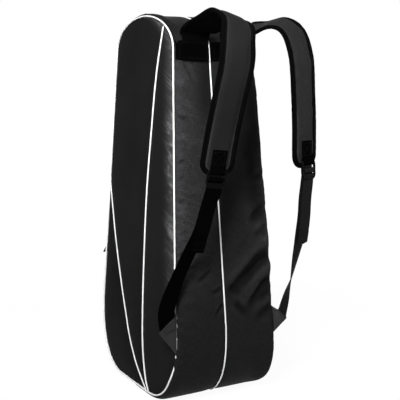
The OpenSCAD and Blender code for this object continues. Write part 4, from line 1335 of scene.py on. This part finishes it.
# ladder lock in millimetres from its top bar; bars are height, depth, half height, half depth and how far
# they stop short of the rails' inner half width
lock = {"half": 14.4, "rail": (2.0, 2.2), "top": 4.6, "foot": -28.5, "waist": -11.5,
        "bow": (1.9, 4.6, 8.0, 17.0), "lean": (-0.2, -2.0), "leanSpan": (-13.0, -27.0), "middleBar": -12.0,
        "bars": [(0.0, 0.0, 1.9, 1.9, 0.0), (-12.0, 0.0, 1.9, 1.9, -1.0), (4.4, -0.2, 1.3, 1.9, 2.5),
                 (-20.4, -1.2, 2.0, 1.8, 0.0), (-23.2, -1.6, 2.1, 2.0, 1.6), (-26.4, -2.0, 2.1, 1.8, 5.5)],
        "web": (-5.9, -0.9, 2.3, 1.2, 5.5)}


# buckle frame: points given as across, inward, up in millimetres from the top bar
def onBuckle(side, places):
    across, inward, up, bar = (np.array(q) for q in straps[side]["buckle"])
    p = np.asarray(places, float) * mm
    return bar + p[..., :1] * across + p[..., 1:2] * inward + p[..., 2:] * up


# ladder lock: two rails that bow outward at the waist and lean out at the foot, round bars, a web and a
# ribbed lip
def makeLocks():
    half, (swell, above, below, reach) = lock["half"], lock["bow"]
    z = np.linspace(lock["top"], lock["foot"], 48)
    drop = np.where(z > lock["waist"], above, below) * np.clip((z - lock["waist"]) / reach, -1, 1) ** 4
    lean = mix(*lock["lean"], ease(*lock["leanSpan"], z))
    parts = [barPart(points(k * (half + swell - drop), lean, z), *lock["rail"], (1, 0, 0)) for k in (-1, 1)]
    for level, deep, tall, thick, short in lock["bars"]:
        row = stroke((short - half, deep, level), (half - short, deep, level))
        parts.append(barPart(row, tall, thick, (0, 0, 1), power=2.4))
    level, deep, tall, thick, short = lock["web"]
    row = stroke((-half, deep, level), (half - short, deep, level))
    parts.append(barPart(row, tall, thick, (0, 0, 1), power=2.6))
    for side in sides:
        body = joined(parts)
        body["points"] = onBuckle(side, body["points"])
        addPiece(f"{side}_lock_body", outward(body), [solid["bucklePlastic"]], f"{side}_lock",
                 "buckle_plastic", [f"{side}_ladder_lock"], sharp=50)


makeLocks()
print("buckles made")

# lower webbing and tail: radius of the turn over the middle bar in millimetres, the tail's way behind the
# lip, then its free rows as parts of 24 along the webbing, each so far off it and so far aside
lower = {"radius": 3.2, "ripple": (0.0004, 0.03, 1 / 1.2, 91), "bendFrom": (0, 0, -8), "bendTo": (0, 0, -70)}
tail = {"radius": 3.3, "lip": [(0, -2.7, -14.4), (0, -0.4, -16.4), (0, 1.4, -18.6), (0, 1.6, -22.5),
                               (0, 1.0, -27), (0, -0.6, -33)], "parts": (5, 8),
        "stop": {"left": 11.1, "right": 12.2}, "aside": {"left": 0.010, "right": 0.004}, "off": 0.0062,
        "asideShares": (0.0, 0.2, 1.0), "width": 0.025, "step": 0.002,
        "ripple": (0.0003, 0.03, 1 / 1.2, 97), "hem": (0.0245, 0.0235), "hemFull": 1.9,
        "stitchRows": (0.019, 0.007), "stitchIn": 0.003, "stitchLevel": 0.0017}


# rows of a strap path on the buckle, with the buckle's own turn and bank
def buckleRows(side, places):
    across = straps[side]["buckle"][0]
    turn = math.degrees(math.atan2(across[1], across[0]))
    place = onBuckle(side, places)
    return np.concatenate([place, np.tile([turn, across[2]], (len(place), 1))], 1)


# points round the middle bar between two angles, 0 being the inner side
def overBar(radius, start, stop, count):
    a = np.linspace(start, stop, count) * np.pi
    return points(0.0, radius * np.cos(a), lock["middleBar"] + radius * np.sin(a))


# webbing run as the solid has it: shares of the way from the buckle's middle bar to the tab
def runPath(side):
    start = onBuckle(side, (0, lower["radius"], lock["middleBar"]))
    run = np.array(straps[side]["run"], float)
    run[:, :3] = start + run[:, :3] * (np.array(straps[side]["end"]) - start)
    return spline(run, 600)


# tail: from the top of the bar down behind the lip, then free beside the webbing
def tailStrap(side, path):
    rail = strapAlong(path)
    pick = (np.array([*tail["parts"], tail["stop"][side]]) / 24 * (len(path) - 1)).astype(int)
    near = np.argmin(np.abs(rail["along"][None, :] - runningLength(path)[pick][:, None]), axis=1)
    aside = tail["aside"][side] * np.array(tail["asideShares"])[:, None]
    free = rail["place"][near] + tail["off"] * rail["out"][near] + aside * rail["across"][near]
    head = buckleRows(side, np.concatenate([overBar(tail["radius"], 0.5, 1.0, 8), tail["lip"]]))
    return strapAlong(spline(np.concatenate([head, np.concatenate([free, path[pick, 3:]], 1)]), 500))


# webbing: over the middle bar and down to the tab, and its tail with a folded hem
def makeWebbing():
    for side in sides:
        path = runPath(side)
        head = buckleRows(side, overBar(lower["radius"], 0.5, 0.0, 10))
        strap = strapAlong(np.concatenate([head, path[6:]]))
        straps[side]["webStrap"] = strap
        finish = [webbing["webbingBlack" if side == "left" else "webbingGrey"]]
        bendEnds = [tuple(onBuckle(side, lower[key])) for key in ("bendFrom", "bendTo")]
        bend = (f"{side}_lock", f"{side}_strap", *bendEnds)
        ribbon = ribbonPart(strap, ripple=lower["ripple"], flare=web["flare"][side])
        addPiece(f"{side}_lower_webbing", ribbon, finish, bend, "webbing", [f"{side}_webbing"])
        end = tailStrap(side, path)
        length = end["length"]
        print(side, "webbing length", round(float(strap["length"]), 3),
              "tail length", round(float(length), 3))
        hem = ([0, *(length - h for h in tail["hem"]), length], [1, 1, tail["hemFull"], tail["hemFull"]])
        ribbon = ribbonPart(end, tail["width"], tail["step"], tail["ripple"], hem=hem)
        addPiece(f"{side}_tail_webbing", ribbon, finish, f"{side}_lock", "webbing", [f"{side}_tail"])
        wide = np.linspace(-1, 1, 30) * (web["width"] / 2 - tail["stitchIn"])
        rows = [strapStitches(end, length - row, wide, sign * tail["stitchLevel"], "fine")
                for row in tail["stitchRows"] for sign in (1, -1)]
        addPiece(f"{side}_tail_stitches", joined(rows), [cloth["thread"]], f"{side}_lock", "webbing")


makeWebbing()
print("webbing made")

# tabs: ends of the seam on the face, how far the free edge lies up the webbing at its two sides, the share
# of the tab before the webbing's end, and stitch rows as grid row and margin
tab = {"inside": 0.001, "under": 0.0059, "seam": {"left": (0.118, 0.222), "right": (0.123, 0.186)},
       "overlap": {"left": (-0.006, -0.027), "right": (-0.004, -0.004)}, "beside": 0.0006, "share": 0.7,
       "rows": 26, "columns": 20, "thin": 0.0010, "swell": 0.0013, "edge": 0.0004,
       "wave": (0.0008, 1 / 4, 1 / 3, 121), "stitchRows": ((16, 0.08), (23, 0.06))}


# tab: a folded triangle of cloth, straight lines from the face seam to the webbing, then up along it
def makeTabs():
    u, v = np.meshgrid(np.linspace(0, 1, tab["rows"]), np.linspace(0, 1, tab["columns"]), indexing="ij")
    thick = tab["thin"] + tab["swell"] * ease(0.45, 0.8, u) - tab["edge"] * fade(np.minimum(v, 1 - v), 0.05)
    wave = clothNoise(tab["wave"], u, v) * np.sin(np.pi * u)
    before, after = np.clip(u / tab["share"], 0, 1), np.clip((u - tab["share"]) / (1 - tab["share"]), 0, 1)
    for side, s in sides.items():
        strap = straps[side]["webStrap"]
        low, high = (np.array([s * (halfDepth(z) - tab["inside"]),
                               tab["under"] - gussetY(max(z, bag["corner"])), z])
                     for z in tab["seam"][side])
        half = web["width"] / 2 * (1 + web["flare"][side]) + tab["beside"]
        along = strap["length"] + mix(*tab["overlap"][side], v) * after
        onWeb = onStrap(strap, along, mix(-half, half, v), 0.0)
        grid = mix(mix(low, high, v[..., None]), onWeb, before[..., None])
        normal = unit(np.cross(np.gradient(grid, axis=0), np.gradient(grid, axis=1)))
        outer, inner = (grid + normal * (wave + sign * thick)[..., None] for sign in (1, -1))
        middle = normal[tab["rows"] // 2, tab["columns"] // 2]
        bend = ("shell", f"{side}_strap", tuple((low + high) / 2), tuple(strap["place"][-1]))
        addPiece(f"{side}_tab_cloth", wallPart(outer, inner), [cloth["tab"]], bend, "tab_fabric",
                 [f"{side}_tab"])
        rows = []
        for row, margin in tab["stitchRows"]:
            at = np.linspace(margin, 1 - margin, 40)
            for skin, sign in ((outer, 1), (inner, -1)):
                line = readAt(at, v[0], skin[row])
                rows.append(stitchPart(line, np.broadcast_to(sign * middle, line.shape), "fine"))
        addPiece(f"{side}_tab_stitches", joined(rows), [cloth["thread"]], f"{side}_strap", "webbing")


makeTabs()

band = {"middle": 0.673, "width": 0.034, "wall": 0.0018, "lift": 0.0020, "over": 0.0048,
        "overSpan": (0.033, 0.026), "gap": 0.0026, "slant": 0.0030, "shoulder": 0.006, "dip": 0.6,
        "rib": 0.0003, "rows": 22, "columns": 60, "stitchRows": (2, 19), "stitchColumns": (5, 54)}


# anchor band: webbing across one compartment, on the gusset and swelling over the strap's sewn neck
def makeBands():
    share = np.linspace(-1, 1, band["rows"])[:, None]
    z = band["middle"] + share * band["width"] / 2
    w = np.linspace(0, 1, band["columns"])[None, :]
    first, last = band["stitchRows"]
    for side, s in sides.items():
        a, b = s * (halfDepth(z) - gusset["edge"]), dividerX(z) + s * band["gap"]
        x = mix(a, b, w)
        drop = np.minimum(edgeShoulder(s, np.abs(x - a)), band["shoulder"])
        drop = drop + band["dip"] * gusset["dip"] * fade(np.abs(x - b), gusset["dipFade"])
        over = band["over"] * ease(*band["overSpan"], np.abs(x - straps[side]["anchor"][0]))
        y = gussetY(z) - drop + band["lift"] + over + band["rib"] * ease(0.85, 0.95, np.abs(share))
        level = z + band["slant"] * (0.5 - w)
        outer, inner = points(x, -y, level), points(x, band["wall"] - y, level)
        addPiece(f"{side}_band_webbing", wallPart(outer, inner), [webbing["webbingBlack"]], "shell",
                 "webbing", [f"{side}_anchor_band"])
        rows = [outer[k] for k in band["stitchRows"]]
        rows += [outer[first:last + 1, k] for k in band["stitchColumns"]]
        rows = [stitchPart(row, np.broadcast_to([0.0, -1.0, 0.0], row.shape)) for row in rows]
        addPiece(f"{side}_band_stitches", joined(rows), [cloth["thread"]], "shell", "webbing")


makeBands()
print("tabs and bands made")

# stage: a pale floor that is white to the camera and keeps a faint shadow, soft lamps and a white surround
stage = {"floorLift": -0.0006, "floorHalf": 30.0, "floorSteps": 13, "pale": (0.6, 0.6, 0.6, 1),
         "rough": 0.9, "keep": 0.10, "surround": 0.12, "glow": (1.06, 1.125), "reach": (0.7, 1.6)}
# lamps: place, aim, size, power and the angle of the beam
lamps = {"key": ((-0.85, -1.1, 1.2), (-0.06, -0.12, 0.56), (0.4, 0.5), 8.4, 80),
         "fill": ((-2.3, 0.9, 1.0), (0, 0, 0.4), (1.2, 1.4), 3, 180),
         "back": ((0.7, 2.3, 0.85), (0, 0, 0.38), (1.2, 1.0), 18, 180),
         "right": ((2.2, -0.7, 0.9), (0, 0, 0.4), (1.0, 1.0), 16, 180)}


# 1 for rays from the camera, a mirror or a glass, 0 for light on its way to the object
def seenRays(tree):
    path = tree.nodes.new("ShaderNodeLightPath").outputs
    direct = calc(tree, "ADD", path["Is Camera Ray"], path["Is Glossy Ray"])
    return calc(tree, "ADD", direct, path["Is Transmission Ray"], clamp=True)


# floor: a flat grid, pale to the light and mostly glowing white to the camera, more with the distance
def makeFloor():
    material, tree, place = startMaterial("floorPale")
    shader = tree.nodes["Principled BSDF"]
    shader.inputs["Base Color"].default_value = stage["pale"]
    shader.inputs["Roughness"].default_value = stage["rough"]
    shader.inputs["Specular IOR Level"].default_value = 0.0
    away = addNode(tree, "ShaderNodeVectorMath", {0: place["Object"]}, operation="LENGTH").outputs["Value"]
    strength = spread(tree, away, stage["reach"], stage["glow"])
    glow = addNode(tree, "ShaderNodeEmission", {"Strength": strength})
    share = calc(tree, "MULTIPLY", seenRays(tree), 1 - stage["keep"])
    both = addNode(tree, "ShaderNodeMixShader", {0: share, 1: shader.outputs[0], 2: glow.outputs[0]})
    feed(tree, both.outputs[0], tree.nodes["Material Output"].inputs["Surface"])
    line = np.linspace(-stage["floorHalf"], stage["floorHalf"], stage["floorSteps"])
    grid = points(line[:, None], line[None, :], stage["floorLift"])
    addMesh("floor", partOf(grid, [gridGroup(grid, gridUv(grid))]), [material])


# surround: white to the camera, dim to the light
def makeSurround():
    world = bpy.data.worlds.new("surround")
    scene.world = world
    world.use_nodes = True
    back = world.node_tree.nodes["Background"].inputs
    back["Color"].default_value = (1, 1, 1, 1)
    strength = spread(world.node_tree, seenRays(world.node_tree), (0.0, 1.0), (stage["surround"], 1.0))
    feed(world.node_tree, strength, back["Strength"])


# lamps: soft rectangles aimed at the bag
def makeLamps():
    for name, (place, aim, size, power, angle) in lamps.items():
        data = bpy.data.lights.new(name, "AREA")
        data.shape, data.size, data.size_y, data.energy = "RECTANGLE", *size, power
        data.spread = math.radians(angle)
        addAimed(name, data, place, aim)


makeFloor()
makeSurround()
makeLamps()

scene.view_settings.view_transform = "Standard"
